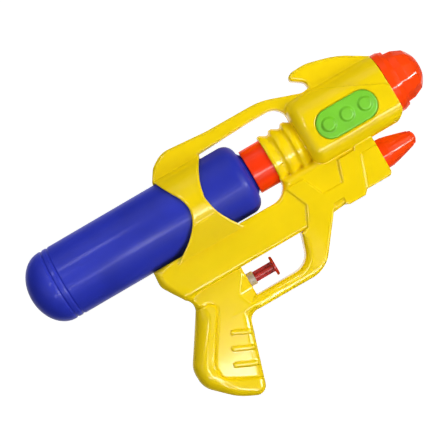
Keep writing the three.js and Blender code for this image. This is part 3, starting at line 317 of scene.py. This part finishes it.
box_flat = shape((98.2, -25, 0.6), (114, -25), (114, -52), (88, -52))
notch_flat = shape((67, -43.8, 0.8), (75.6, -43.8, 0.8), (74, -52), (67, -52))
grip_flat = shape(
    (-45.6, -43.7), (-42.8, -57.4, 8), (-65.4, -91.5, 15), (-65.2, -105.2, 14), (-48, -121.4, 40),
    (-30.6, -129.7, 6.5), (-14.6, -78.8), (-4.4, -72.3), (-4.4, -43.7),
)
border_flat = shape(
    (-78, -58.6), (-46, -58.6), (-27.6, -60.4, 4.5), (-51.2, -96.4, 9), (-50.8, -106, 7), (-26, -119.4),
    (-26, -142), (-78, -142),
)
band_flat = shape(
    (-27.6, 29.5), (-21.8, 17.6, 40), (-14.0, 4, 22), (-14.2, -6, 20), (-22, -17, 40), (-40.5, -29.5),
    (12.2, -29.5), (3.2, -17.6, 60), (-1.9, -5, 40), (-1.9, 5, 40), (3.2, 17.6, 60), (11, 29.5),
)
band_section = shape((-4, -28), (16.6, -28), (25.1, -12), (10, 0), (-4, 0))
panel_flat = shape(*[(x, z, 9.89) for x, z in ((81.2, -9.3), (123.8, -9.3), (123.8, 10.5), (81.2, 10.5))])
rib_half, rib_length = 1.8, 20
rib_cos, rib_sin = 0.91, 0.415  # the ribs slope down to the front
rib_corners = ((0, -rib_half), (rib_length, -rib_half), (rib_length, rib_half), (0, rib_half))
finger_ribs = [
    shape(*[
        (x + along * rib_cos + across * rib_sin, z - along * rib_sin + across * rib_cos, 1.4)
        for along, across in rib_corners
    ])
    for x, z in ((-31.6 - 4.5 * i, -82.8 - 9.4 * i) for i in range(3))
]
screw_places = {
    "bar": (-12, 31.6), "pod_rear": (82, 18), "pod_front": (123, -12.6), "beam": (-49, -37.5),
    "fore_end": (98, -38), "grip_top": (-36, -78), "grip_foot": (-44, -111),
}


def pod(x, y, z):
    """A barrel round the muzzle's axis, in cheeks that end above at a diagonal crease."""
    barrel = barrel_round(x, np.hypot(y, z - nose_z))
    sink = 0.3 * ramp((x - 100) / 22) * ramp((z - 2) / 9)
    cheek = plate(pod_section(y, z) + sink, pod_rear_x - x, 0, 8.0)
    cheek = both(cheek, crease_flat(x, z), 0.5)
    lower_corner = ((x - 130) * 4.5 - (z + 20) * 5.5) / 7.106
    cheek = both(cheek, both(x - pod_front_x, lower_corner, 3.0), 0.8)
    return either(barrel, cheek, 0.5)


def hoop(x, y, z):
    """A waisted band round the tank, on a foot that widens down to the beam."""
    wall = either(np.hypot(y, z) - hoop_radius, band_section(y, z), 1.0)
    return both(wall, band_flat(x, z), 1.4)


def front(x, y, z):
    """Fore-end and guard in one: a panel that runs down into the bow, with the finger gap cut out."""
    widening = 5 * ramp((x - 2) / 52)
    bevel = 0.185 * np.clip(-75.2 - z, 0, 3)
    half = bow_half + widening - bevel
    for recess, depth, slope in ((trapezium_flat, 2.6, 2.4), (box_flat, 1.1, 1.2), (notch_flat, 2.0, 1.2)):
        half = half - depth * ramp(-recess(x, z) / slope)
    outer_rim = 1.1 + 0.7 * ramp((-50 - z) / 14) + 2.8 * ramp((-4 - x) / 8)
    inner_rim = 1.2 + 3.4 * ramp((-48.5 - z) / 9)
    outside = plate(front_flat(x, z), y, half, outer_rim)
    return np.maximum(outside, plate(-finger_flat(x, z), y, half, inner_rim))


def handgrip(x, y, z):
    """A grip that thins towards its foot, with a raised border round the back and three ribs in front."""
    side = grip_flat(x, z)
    border = border_flat(x, z)
    border_step = 0.9 * ramp(-border / 0.9)
    border_swell = 0.8 * ramp(-border / 8) * ramp((-68 - z) / 20)
    border_groove = 0.5 * np.exp(-(border / 0.7) ** 2)
    thinning = 3.2 * np.clip((-76 - z) / 46, 0, 1) ** 2
    half = grip_half - thinning + (border_step + border_swell - border_groove)
    from_front = 0.299 * (z + 78.8) - 0.954 * (x + 14.6)
    back_rounding = 6.6 * ramp((from_front + 2) / 32) * ramp((z + 127) / 27)
    grip = plate(side, y, half, 3 + ramp((-52 - z) / 16) * (1.4 + back_rounding))
    ribs = np.minimum.reduce([rib(x, z) for rib in finger_ribs])
    return either(grip, both(grip - 1.5 * ramp(-side / 2.5), ribs, 1.6), 0.3)


def mouth_cut(x, y, z):
    """Two slanting facets that meet in a valley on each side of the trigger's mouth."""
    upper = np.cross((-10, 0, -14), (0.6, -6, -14))
    lower = np.cross((10.6, -6, 0), (4, 0, -10))
    valley = (-15, 12.2, -65)
    facets = []
    for normal in (upper, lower):
        normal = normal / np.linalg.norm(normal) * (1 if normal[1] > 0 else -1)
        facets.append(
            (x - valley[0]) * normal[0] + (y - valley[1]) * normal[1] + (z - valley[2]) * normal[2]
        )
    return both(both(-facets[0], -facets[1], 0.6), both(z + 49.9, -76 - z, 0.5), 0.5)


def housing(x, y, z):
    """Both halves in one: all the outer forms joined, then room cut for the pieces that they hold."""
    y = np.abs(y)
    spine = plate(spine_flat(x, z), y, spine_half, 2.6 - 1.3 * ramp((32 - z) / 3))
    body = either(pod(x, y, z), spine, 1.0)
    body = either(body, collar_round(x, np.hypot(y, z)), 1.0)
    neck = ramp((x - 38) / 6) * ramp((z + 22) / 4)
    beam_rim = 2.4 + 4 * ramp((-40 - x) / 14) - 1.1 * ramp((z + 32) / 4) * ramp((34 - x) / 6) + 3.8 * neck
    beam = plate(beam_flat(x, z), y, beam_half, beam_rim)
    grip = less(handgrip(x, y, z), mouth_cut(x, y, z), 0.6)
    lower = either(beam, grip, 0.6 + 5 * ramp((-34 - x) / 10))
    lower = either(lower, front(x, y, z), 0.6)
    body = either(body, lower, 0.5 + 2 * neck * ramp((73 - x) / 4))
    body = either(body, hoop(x, y, z), 0.6)

    from_tank_axis = np.hypot(y, z)
    tank_room = both(from_tank_axis - tank_room_radius, x - cap_rear_x, 0.5)
    cap_room = both(from_tank_axis - 15.8 + 0.5 * ramp((x - 46.4) / 2), both(x - 51.4, 30 - x, 0.5), 0.5)
    panel_seat = np.maximum(panel_flat(x, z) - 0.3, panel_seat_y - y)
    nose_room = np.maximum(np.hypot(y, z - nose_z) - 17.9, 131 - x)
    cone_room = np.maximum(np.hypot(y, z - cone_z) - 8.3, 106 - x)
    pump_room = np.maximum(np.hypot(y, z - pump_z) - 4.91, np.maximum(-42 - x, x - 2))
    rooms = (
        (tank_room, 0.6), (cap_room, 0.4), (panel_seat, 0.9),
        (nose_room, 0.2), (cone_room, 0.2), (pump_room, 0.4),
    )
    for room, edge in rooms:
        body = less(body, room, edge)
    return body


def half_housing(pockets):
    """The half on the +y side, with the screws' pockets if asked, and no faces hidden in the parting."""
    def field(x, y, z):
        body = both(housing(x, y, z), parting_y - y, 0.5)
        for screw_x, screw_z in screw_places.values() if pockets else ():
            pocket = np.maximum(np.hypot(x - screw_x, z - screw_z) - pocket_radius, pocket_floor_y - y)
            body = less(body, pocket, 0.5)
        return body

    step = 0.75
    vertices, quads = contour(field, (-69, -1.5, -133), (138, 29.5, 46.5), step)
    middle = vertices[quads].mean(1)
    hidden = (middle[:, 1] < 0.2) & (housing(middle[:, 0], middle[:, 1], middle[:, 2]) < -2.2)
    return vertices, quads[~hidden]


points, quads = half_housing(pockets=False)
right_half = to_object("shell_right", points * (1, -1, 1), quads[:, ::-1], yellow)
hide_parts("housing_right")
points, quads = half_housing(pockets=True)
left_half = to_object("shell_left", points, quads, yellow)
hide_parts("housing_left")
for piece in (right_half, left_half):
    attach(piece, "housing")


# Side panels: satin green plates glued into a shallow seat on each side of the pod.
# Each is one moulding with three fixed round studs.
green = plastic("green_trim", (0.17, 0.57, 0.016), 0.36, grain=0.06)
panel_back_y, panel_face_y, stud_face_y = 22.6, 24.3, 25.9
stud_radius = 5.0
stud_places = (89.4, 102.6, 115.8)
stud_z = 0.6


def side_panel(x, y, z):
    """The panel on the +y side, a plate with tapered studs."""
    base = plate(panel_flat(x, z), y, panel_face_y, 1.3)
    studs = np.full(np.broadcast(x, y, z).shape, 1e9)
    for place in stud_places:
        disc = np.hypot(x - place, z - stud_z) - stud_radius
        studs = np.minimum(studs, plate((disc + 0.8 * (y - panel_face_y)) * 0.78, y, stud_face_y, 0.5))
    whole = either(base, studs, 0.4)
    return np.maximum(whole, panel_back_y - y)


points, quads = contour(side_panel, (79, 21.5, -11.5), (126.5, 27, 12.5), 0.36)
for side, flip in (("right", -1), ("left", 1)):
    piece = to_object(f"panel_{side}", points * (1, flip, 1), quads[:, ::flip], green)
    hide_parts(f"side_panel_{side}")
    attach(piece, "housing")


# Muzzle: a glossy orange moulding that snaps behind the pod's front wall.
# Its nose has twelve flats, with narrow chamfers between them, and carries the jet.
orange = plastic("orange_nozzle", (1.0, 0.06, 0.002), 0.12)
on_axis = 0.02  # radius at which a solid end closes


def turned(name, corners, material, z=0.0, sides=96, parts=(), flats_from=None, flat_half=13.3, crease=38):
    """A lathe piece about a line along x, from closed corners (x, radius, fillet).

    In front of flats_from it has twelve flats, and the radius is the one across them.
    """
    line = outline(corners)
    area = np.sum(line[:, 0] * np.roll(line[:, 1], -1) - line[:, 1] * np.roll(line[:, 0], -1))
    line = line if area > 0 else line[::-1]
    angle = 2 * np.pi * np.arange(sides) / sides
    radius = line[:, 1:2] * np.ones(sides)
    if flats_from is not None:
        flat = np.linspace(-flat_half, flat_half, sides // 12)
        angle = np.radians((30 * np.arange(12)[:, None] + flat).ravel())
        share = np.tile(np.radians(flat), 12)
        cut = ramp((line[:, :1] - flats_from) / 4) * (line[:, 1:2] > 1.5)
        radius = line[:, 1:2] * (1 + cut * (1 / np.cos(share) - 1))
    points = np.stack([
        np.repeat(line[:, 0], sides),
        (radius * np.cos(angle)).ravel(),
        (radius * np.sin(angle)).ravel() + z,
    ], 1)
    i, j = np.meshgrid(np.arange(len(line)), np.arange(sides), indexing="ij")
    up, on = (i + 1) % len(line), (j + 1) % sides
    quads = np.stack([i * sides + j, i * sides + on, up * sides + on, up * sides + j], -1).reshape(-1, 4)
    faces = list(map(tuple, quads))
    for extra, extra_faces in parts:
        faces += [tuple(k + len(points) for k in face) for face in extra_faces]
        points = np.concatenate([points, extra])
    return to_object(name, points, faces, material, crease)


piece = turned("muzzle_nose", [
    (129, on_axis), (129, 15), (131.4, 19.4), (133.4, 19.4), (133.4, 17.6), (135.8, 17.6), (135.8, 21.2, 0.3),
    (140.2, 21, 0.8), (142.4, 19.8, 0.6), (143.3, 19.5, 0.4), (143.6, 17.6, 0.2), (148.8, 17.1, 2.5),
    (155.6, 14, 1), (157.6, 11.7, 0.6), (159.8, 8.4, 0.8), (160.8, 5.6, 0.6), (160.8, 1.6, 0.4), (160, 1.1),
    (155, 1.1), (155, on_axis),
], orange, z=nose_z, sides=120, flats_from=139.5, crease=11)
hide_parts("muzzle")
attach(piece, "housing")


# Lower nozzle: the same orange plastic, a cone for show with a plain foot and twelve flats.
# It snaps into the fore-end.
piece = turned("lower_cone", [
    (105, on_axis), (105, 6), (106.7, 9.8), (108.7, 9.8), (108.7, 8), (110.2, 8), (110.2, 10.3, 0.3),
    (115.4, 10.1, 0.2), (115.7, 9.9, 0.2), (118.6, 9.3, 8), (126, 7.2, 20), (132.4, 5.3, 0.2),
    (132.8, 4.8, 0.2), (134.5, 4.3, 0.8), (135.8, 2.2, 0.5), (135.8, 1.6, 0.2), (135, 1.1), (129.7, 1.1),
    (129.7, on_axis),
], orange, z=cone_z, sides=120, flats_from=117.5, flat_half=10.8, crease=11)
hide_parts("lower_nozzle")
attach(piece, "housing")


# Cap: a red-orange screw cap held by the collar's lip; the tank's neck screws into it.
# Its skirt is smooth outside and threaded inside.
cap_red = plastic("red_orange_cap", (1.0, 0.04, 0.002), 0.16)


def thread(start, root, crest, width, pitch=4.0, turns=1.6):
    """A helical ridge about the tank's axis."""
    steps = int(48 * turns)
    t = np.linspace(0, 1, steps + 1)
    fade = np.minimum(1, np.minimum(t, 1 - t) * 12)
    angle = 2 * np.pi * turns * t
    section = ((-0.5, 0.0), (-0.25, 1.0), (0.25, 1.0), (0.5, 0.0))
    rows = []
    for across, rise in section:
        r = root + (crest - root) * rise * fade
        along = start + pitch * turns * t + across * width
        rows.append(np.stack([along, r * np.cos(angle), r * np.sin(angle)], 1))
    points = np.concatenate(rows)
    n = steps + 1
    faces = [(a * n + k, a * n + k + 1, b * n + k + 1, b * n + k)
             for a, b in ((0, 1), (1, 2), (2, 3), (3, 0)) for k in range(steps)]
    return points, faces


cap = turned("cap_shell", [
    (cap_rear_x, 13.6, 0.3), (cap_rear_x, 15.5, 0.7), (46.9, 15.5), (46.9, 14.6), (49.6, 14.6), (49.6, 15),
    (51.2, 15), (51.2, 3.1), (47.8, 3.1), (47.8, 13.6),
], cap_red, parts=[thread(start=35.0, root=13.62, crest=13.3, width=1.6)])
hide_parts("tank_cap")
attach(cap, "housing")


# Tank: a blow-moulded bottle in dark blue, unscrewed to fill it.
# It has a domed end, two shallow grooves behind the dome, a round shoulder and a threaded neck.
blue = plastic("blue_tank", (0.018, 0.03, 0.41), 0.42, mottle=0.14, grain=0.12, grain_size=0.002)
blue_surface = blue.node_tree.nodes["Principled BSDF"]
blue_surface.inputs["Specular IOR Level"].default_value = 0.16
blue_surface.inputs["Coat Weight"].default_value = 0.1
blue_surface.inputs["Coat Roughness"].default_value = 0.14
tank_radius = 24.7
tank_wall = 1.2
dome_x = -113.5
dome_length = 19
angles = np.linspace(0, math.pi / 2, 25)
dome_outside = [(dome_x - dome_length * math.cos(a), tank_radius * math.sin(a)) for a in angles]
dome_inside = [
    (dome_x - (dome_length - tank_wall) * math.cos(a), (tank_radius - tank_wall) * math.sin(a))
    for a in angles[::-2]
]
grooves = [
    (x + across, tank_radius - depth, fillet)
    for x in (-111.7, -107.3)
    for across, depth, fillet in ((-1.1, 0, 0.3), (0, 0.7, 0.5), (1.1, 0, 0.3))
]
tank = turned("tank_bottle", [
    (dome_outside[0][0], on_axis), *dome_outside[1:], *grooves, (0, tank_radius), (9, 24.2), (29.5, 24.2, 8.5),
    (29.5, 15.5, 0.8), (31.1, 13.2, 0.6), (31.2, 12.4, 0.3), (45.1, 12.4, 0.4), (45.1, 11.2, 0.4),
    (28, 11.2, 1.5), (28, tank_radius - tank_wall, 7), *dome_inside[:-1], (dome_inside[-1][0], on_axis),
], blue, sides=128, parts=[thread(start=35.2, root=12.38, crest=13.15, width=2.0)])
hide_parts("tank")
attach(tank, "tank")


# Gasket: a washer of black rubber between the bottle's rim and the cap's floor.
# The rim presses into it as the tank is screwed home, and it turns with the tank.
rubber = plastic("black_rubber", (0.014, 0.014, 0.015), 0.7, mottle=0.2, grain=0.2)
gasket = turned("gasket_washer", [
    (45.25, 9.6, 0.2), (45.25, 13.2, 0.2), (46.65, 13.2, 0.2), (46.65, 9.6, 0.2),
], rubber)
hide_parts("tank_gasket")
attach(gasket, "tank_gasket")


# Hoses: soft clear tube, pushed over barbs. The dip tube reaches to the tank's rear, the suction hose
# joins the cap to the pump, and the delivery hose runs from the pump to the muzzle.
soft_tube = plastic("soft_tube", (0.74, 0.79, 0.76), 0.28, grain=0.05, clear=0.35)


def tube(name, knots, material, outer=2.6, inner=1.7, sides=24):
    """A smooth bored tube in the middle plane through knots (x, z)."""
    knots = np.array(knots, float)
    padded = np.concatenate([2 * knots[:1] - knots[1:2], knots, 2 * knots[-1:] - knots[-2:-1]])
    line = []
    for p0, p1, p2, p3 in zip(padded, padded[1:], padded[2:], padded[3:]):
        spans = ((p0, p1), (p1, p2), (p2, p3))
        k = np.cumsum([0] + [math.sqrt(np.linalg.norm(b - a)) for a, b in spans])
        for t in np.linspace(k[1], k[2], 13)[:-1]:
            a1 = ((k[1] - t) * p0 + (t - k[0]) * p1) / (k[1] - k[0])
            a2 = ((k[2] - t) * p1 + (t - k[1]) * p2) / (k[2] - k[1])
            a3 = ((k[3] - t) * p2 + (t - k[2]) * p3) / (k[3] - k[2])
            b1 = ((k[2] - t) * a1 + (t - k[0]) * a2) / (k[2] - k[0])
            b2 = ((k[3] - t) * a2 + (t - k[1]) * a3) / (k[3] - k[1])
            line.append(((k[2] - t) * b1 + (t - k[1]) * b2) / (k[2] - k[1]))
    line = np.array(line + [knots[-1]])
    along = np.gradient(line, axis=0)
    along /= np.linalg.norm(along, axis=1)[:, None]
    angle = 2 * np.pi * np.arange(sides) / sides
    points = []
    for r in (outer, inner):
        for (x, z), (dx, dz) in zip(line, along):
            points += [(x - dz * r * math.cos(a), r * math.sin(a), z + dx * r * math.cos(a)) for a in angle]
    n = len(line)
    faces = []
    for k in range(n - 1):
        for j in range(sides):
            on = (j + 1) % sides
            faces.append((k * sides + j, k * sides + on, (k + 1) * sides + on, (k + 1) * sides + j))
            b = n * sides + k * sides
            faces.append((b + j, b + sides + j, b + sides + on, b + on))
    for j in range(sides):
        on = (j + 1) % sides
        faces.append((on, j, n * sides + j, n * sides + on))
        last = (n - 1) * sides
        faces.append((last + j, last + on, n * sides + last + on, n * sides + last + j))
    return to_object(name, points, faces, material)


hoses = {
    "dip_tube": [(45.85, 0), (38.85, 0), (-7.4, -0.72), (-116.3, -6)],
    "suction_hose": [
        (56.2, -6.1), (56.2, -10.3), (56.2, -14.5), (50.4, -28.7), (36.2, -34.5), (16.2, -34.5),
        (-24.9, -34.5), (-31.9, -34.5),
    ],
    "delivery_hose": [
        (-22.7, -43.4), (-15.7, -43.4), (54.2, -43.4), (76.2, -37.5), (92.2, -19), (104.1, -0.5),
        (114.1, nose_z), (121.1, nose_z), (128.1, nose_z),
    ],
}
for node, knots in hoses.items():
    piece = tube(f"{node}_soft", knots, soft_tube)
    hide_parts(node)
    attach(piece, "housing")


# Pump: natural polyethylene mouldings in the grip, a cylinder with two ball valves and their elbows.
# They stay as the CAD made them, since the body hides them.
milky = plastic("milky_plastic", (0.51, 0.46, 0.375), 0.34, mottle=0.04, clear=0.25)
for node in ("suction_elbow", "pump_cylinder", "inlet_elbow", "outlet_elbow", "inlet_ball", "outlet_ball"):
    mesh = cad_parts[node].data
    mesh.materials.clear()
    mesh.materials.append(milky)


# Gland: a collar of the same milky plastic, held by its flange in the mouth of the grip.
# The plunger slides through it.
gland = turned("gland_collar", [
    (-12.5, 4.01, 0.2), (-12.5, 4.7, 0.2), (-7.85, 4.7), (-7.85, 6.2), (-6.65, 6.2), (-6.65, 4.61),
    (0, 4.61, 0.5), (0, 4.01, 0.2),
], milky, z=pump_z, sides=64)
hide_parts("gland")
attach(gland, "housing")


# Trigger: a dark red plunger, in one moulding a piston, a cross-shaped stem and a round finger pad.
# A rubber ring sits in the piston's groove.
dark_red = plastic("dark_red_trigger", (0.44, 0.012, 0.005), 0.26)
arm, web = 3.6, 0.9  # reach and half thickness of the stem's cross
stem_section = shape(*[
    (a, b, 0.25) for a, b in (
        (arm, web), (web, web), (web, arm), (-web, arm), (-web, web), (-arm, web),
        (-arm, -web), (-web, -web), (-web, -arm), (web, -arm), (web, -web), (arm, -web),
    )
])
piston_round = shape(
    (-16.8, -4), (-16.8, 4.7, 0.2), (-15.85, 4.7), (-15.85, 3.2), (-13.75, 3.2), (-13.75, 4.7),
    (-12.8, 4.7, 0.2), (-12.8, -4),
)
pad_round = shape((13.6, -4), (13.6, 6.7, 0.6), (15.6, 6.7, 0.9), (15.3, -4))
stem_rear_x, stem_front_x = -13.5, 14.2


def trigger(x, y, z):
    """The plunger about the pump's axis, with a fillet between its stem and its pad."""
    r = np.hypot(y, z - pump_z)
    stem = np.maximum(stem_section(y, z - pump_z), np.maximum(stem_rear_x - x, x - stem_front_x))
    pad = either(pad_round(x, r), stem, 0.7)
    return np.minimum(pad, piston_round(x, r))


points, quads = contour(trigger, (-17.6, -7.6, -67.6), (16.6, 7.6, -52.4), 0.3)
piece = to_object("trigger_plunger", points, quads, dark_red)
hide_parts("trigger")
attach(piece, "trigger")

ring_x, ring_radius, ring_half = -14.8, 4.1, 0.75
ring_section = [
    (ring_x + ring_half * math.cos(a), ring_radius + ring_half * math.sin(a))
    for a in np.linspace(0, 2 * math.pi, 17)[:-1]
]
ring = turned("piston_seal", ring_section, rubber, z=pump_z, sides=64)
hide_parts("piston_ring")
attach(ring, "trigger")


# Return spring: bright steel wire, wound in eight turns and set between the pump's floor and the piston.
# It is squeezed as the trigger is pulled; this mesh keeps its rest length and stays with the housing.
steel = plastic("spring_steel", (0.5, 0.52, 0.55), 0.26, mottle=0.08)
steel.node_tree.nodes["Principled BSDF"].inputs["Metallic"].default_value = 1.0
turns = 8
wire_radius = 0.35
coil_radius = 4.05
spring_rear_x = -38.55
spring_length = 21.1
sides = 10
along = np.linspace(0, 1, 40 * turns + 1)
points, faces = [], []
for share, angle in zip(along, 2 * np.pi * turns * along):
    for b in 2 * np.pi * np.arange(sides) / sides:
        x = spring_rear_x + spring_length * share + wire_radius * math.sin(b)
        r = coil_radius + wire_radius * math.cos(b)
        points.append((x, r * math.cos(angle), pump_z + r * math.sin(angle)))
for k in range(len(along) - 1):
    here, there = k * sides, (k + 1) * sides
    for j in range(sides):
        on = (j + 1) % sides
        faces.append((here + j, here + on, there + on, there + j))
faces += [tuple(range(sides - 1, -1, -1)), tuple(range(len(points) - sides, len(points)))]
spring = to_object("spring_coil", points, faces, steel)
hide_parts("return_spring")
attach(spring, "housing")
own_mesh(spring)


# Screws: seven self-tapping screws of bright steel, with a cross recess in the head.
# They are put in from the left, deep in pockets, and draw the two halves together.
point_y = -4.6
shank_radius, ridge_height, ridge_pitch = 1.3, 0.12, 0.9
head_radius, head_y, head_half = 2.7, 4.45, 0.9
slot_half, slot_reach, slot_floor_y = 0.32, 1.5, 4.5


def screw(x, y, z):
    """One screw along y, with its point towards -y."""
    r = np.hypot(x, z)
    ridge = ridge_height * np.cos(2 * np.pi * y / ridge_pitch - np.arctan2(z, x))
    shank = np.maximum(r - shank_radius + ridge, np.maximum(point_y - y, y - 4))
    shank = np.maximum(shank, (r - 0.2 - (y - point_y)) * 0.7)
    head = plate(r - head_radius, np.abs(y - head_y), head_half, 0.45)
    slot = np.maximum(np.abs(x) - slot_half, np.abs(z) - slot_reach)
    cross_slot = np.maximum(np.abs(z) - slot_half, np.abs(x) - slot_reach)
    recess = np.maximum(np.minimum(slot, cross_slot), slot_floor_y - y)
    return less(np.minimum(shank, head), recess, 0.15)


points, quads = contour(screw, (-3.2, -5.1, -3.2), (3.2, 5.9, 3.2), 0.2)
for name, (screw_x, screw_z) in screw_places.items():
    piece = to_object(f"bolt_{name}", points + (screw_x, 0, screw_z), quads, steel)
    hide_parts(f"screw_{name}")
    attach(piece, "housing")


# Studio: a pale floor well below and white walls, which only the camera sees, and soft lamps.
# The camera is square to the right side and rolled as in the photograph.
scene = bpy.context.scene
scene.view_settings.view_transform = "Standard"
world = bpy.data.worlds.new("surround")
scene.world = world
world.use_nodes = True
nodes, links = world.node_tree.nodes, world.node_tree.links
place = nodes.new("ShaderNodeTexCoord")
split = nodes.new("ShaderNodeSeparateXYZ")
shade = nodes.new("ShaderNodeValToRGB")
shade.color_ramp.elements[0].position = 0.6
shade.color_ramp.elements[0].color = (0.06, 0.06, 0.06, 1)
shade.color_ramp.elements[1].position = 0.93
shade.color_ramp.elements[1].color = (1.02, 1.02, 1.02, 1)
links.new(place.outputs["Generated"], split.inputs["Vector"])
links.new(split.outputs["Y"], shade.inputs["Fac"])
links.new(shade.outputs["Color"], nodes["Background"].inputs["Color"])

pale = plastic("pale_floor", (0.9, 0.9, 0.9), 0.6, mottle=0.01)
pale_nodes, pale_links = pale.node_tree.nodes, pale.node_tree.links
pale_place = pale_nodes.new("ShaderNodeTexCoord")
pale_split = pale_nodes.new("ShaderNodeSeparateXYZ")
pale_glow = pale_nodes.new("ShaderNodeMapRange")
pale_glow.inputs["From Min"].default_value = 2
pale_glow.inputs["From Max"].default_value = 5
pale_glow.inputs["To Min"].default_value = 0.8
pale_glow.inputs["To Max"].default_value = 1.02
pale_links.new(pale_place.outputs["Object"], pale_split.inputs["Vector"])
pale_links.new(pale_split.outputs["Y"], pale_glow.inputs["Value"])
pale_links.new(pale_glow.outputs["Result"], pale_nodes["Principled BSDF"].inputs["Emission Strength"])
pale_nodes["Principled BSDF"].inputs["Emission Color"].default_value = (1, 1, 1, 1)
white = plastic("white_wall", (0.9, 0.9, 0.9), 0.6, mottle=0.01)
white.node_tree.nodes["Principled BSDF"].inputs["Emission Color"].default_value = (1, 1, 1, 1)
white.node_tree.nodes["Principled BSDF"].inputs["Emission Strength"].default_value = 1.02
room = [(x, y, z) for z in (-1.5, 9) for x, y in ((-12, -12), (12, -12), (12, 12), (-12, 12))]
walls = [(0, 1, 5, 4), (1, 2, 6, 5), (2, 3, 7, 6), (3, 0, 4, 7), (4, 5, 6, 7)]
for name, faces, material in (("floor", [(0, 1, 2, 3)], pale), ("walls", walls, white)):
    mesh = bpy.data.meshes.new(name)
    mesh.from_pydata(room, [], faces)
    mesh.materials.append(material)
    made = bpy.data.objects.new(name, mesh)
    scene.collection.objects.link(made)
    made.visible_diffuse = made.visible_glossy = made.visible_shadow = False


def lamp(name, place, aim, size, power, shine):
    """An area lamp that faces a point, seen only as a shine on the pieces or only as their light."""
    light = bpy.data.lights.new(name, "AREA")
    light.shape = "RECTANGLE"
    light.size, light.size_y = size
    light.energy = power
    made = bpy.data.objects.new(name, light)
    scene.collection.objects.link(made)
    back = np.array(place, float) - np.array(aim, float)
    back /= np.linalg.norm(back)
    right = np.cross((0, 0, 1), back)
    right /= np.linalg.norm(right)
    up = np.cross(back, right)
    made.matrix_world = Matrix([*np.stack([right, up, back, place], 1).tolist(), [0, 0, 0, 1]])
    made.visible_diffuse = not shine
    made.visible_glossy = shine


lamp("key_right", (0.78, -0.7, 0.06), (0.08, 0, 0.06), (0.45, 0.5), 6.2, shine=False)
lamp("key_low", (0.3, -0.75, -0.65), (0.1, 0, 0.08), (0.6, 0.35), 5.1, shine=False)
lamp("fill_left", (-0.75, -0.65, 0.1), (0.05, 0, 0.06), (0.5, 0.5), 2.6, shine=False)
lamp("fill_top", (0.1, -0.5, 1.1), (0.05, 0, 0.06), (1.4, 0.5), 7.0, shine=False)
lamp("back_high", (0.1, 0.75, 0.8), (0.05, 0, 0.06), (1.2, 0.6), 6.0, shine=False)
lamp("back_low", (0.1, 0.9, -0.4), (0.05, 0, 0.06), (1.0, 0.5), 3.0, shine=False)
lamp("strip_low", (0.1, -0.85, -0.36), (0.1, 0, 0.08), (1.5, 0.06), 4.5, shine=True)
lamp("strip_side", (1.25, -0.85, -0.47), (0.19, 0, 0.09), (0.9, 0.24), 16.0, shine=True)
lamp("sheen_low", (-0.05, -0.9, -0.29), (-0.02, 0, -0.01), (0.09, 0.18), 1.0, shine=True)
lamp("sheen_mid", (-0.04, -0.9, -0.11), (-0.02, 0, -0.01), (0.13, 0.16), 0.2, shine=True)
lamp("strip_high", (-0.17, -0.83, 0.69), (-0.05, 0, 0.1), (0.16, 0.16), 1.3, shine=True)
lamp("window_left", (-0.3, -0.91, 0.3), (0.11, 0, 0.1), (0.15, 0.18), 1.2, shine=True)

camera_data = bpy.data.cameras.new("camera")
camera_data.sensor_width = 36
camera_data.lens = 122.7
camera = bpy.data.objects.new("camera", camera_data)
scene.collection.objects.link(camera)
camera_x, camera_y, camera_z = 0.038, -0.990, 0.0722
roll = math.radians(30.3)
camera.matrix_world = Matrix([
    [math.cos(roll), math.sin(roll), 0, camera_x],
    [0, 0, -1, camera_y],
    [-math.sin(roll), math.cos(roll), 0, camera_z],
    [0, 0, 0, 1],
])
scene.camera = camera
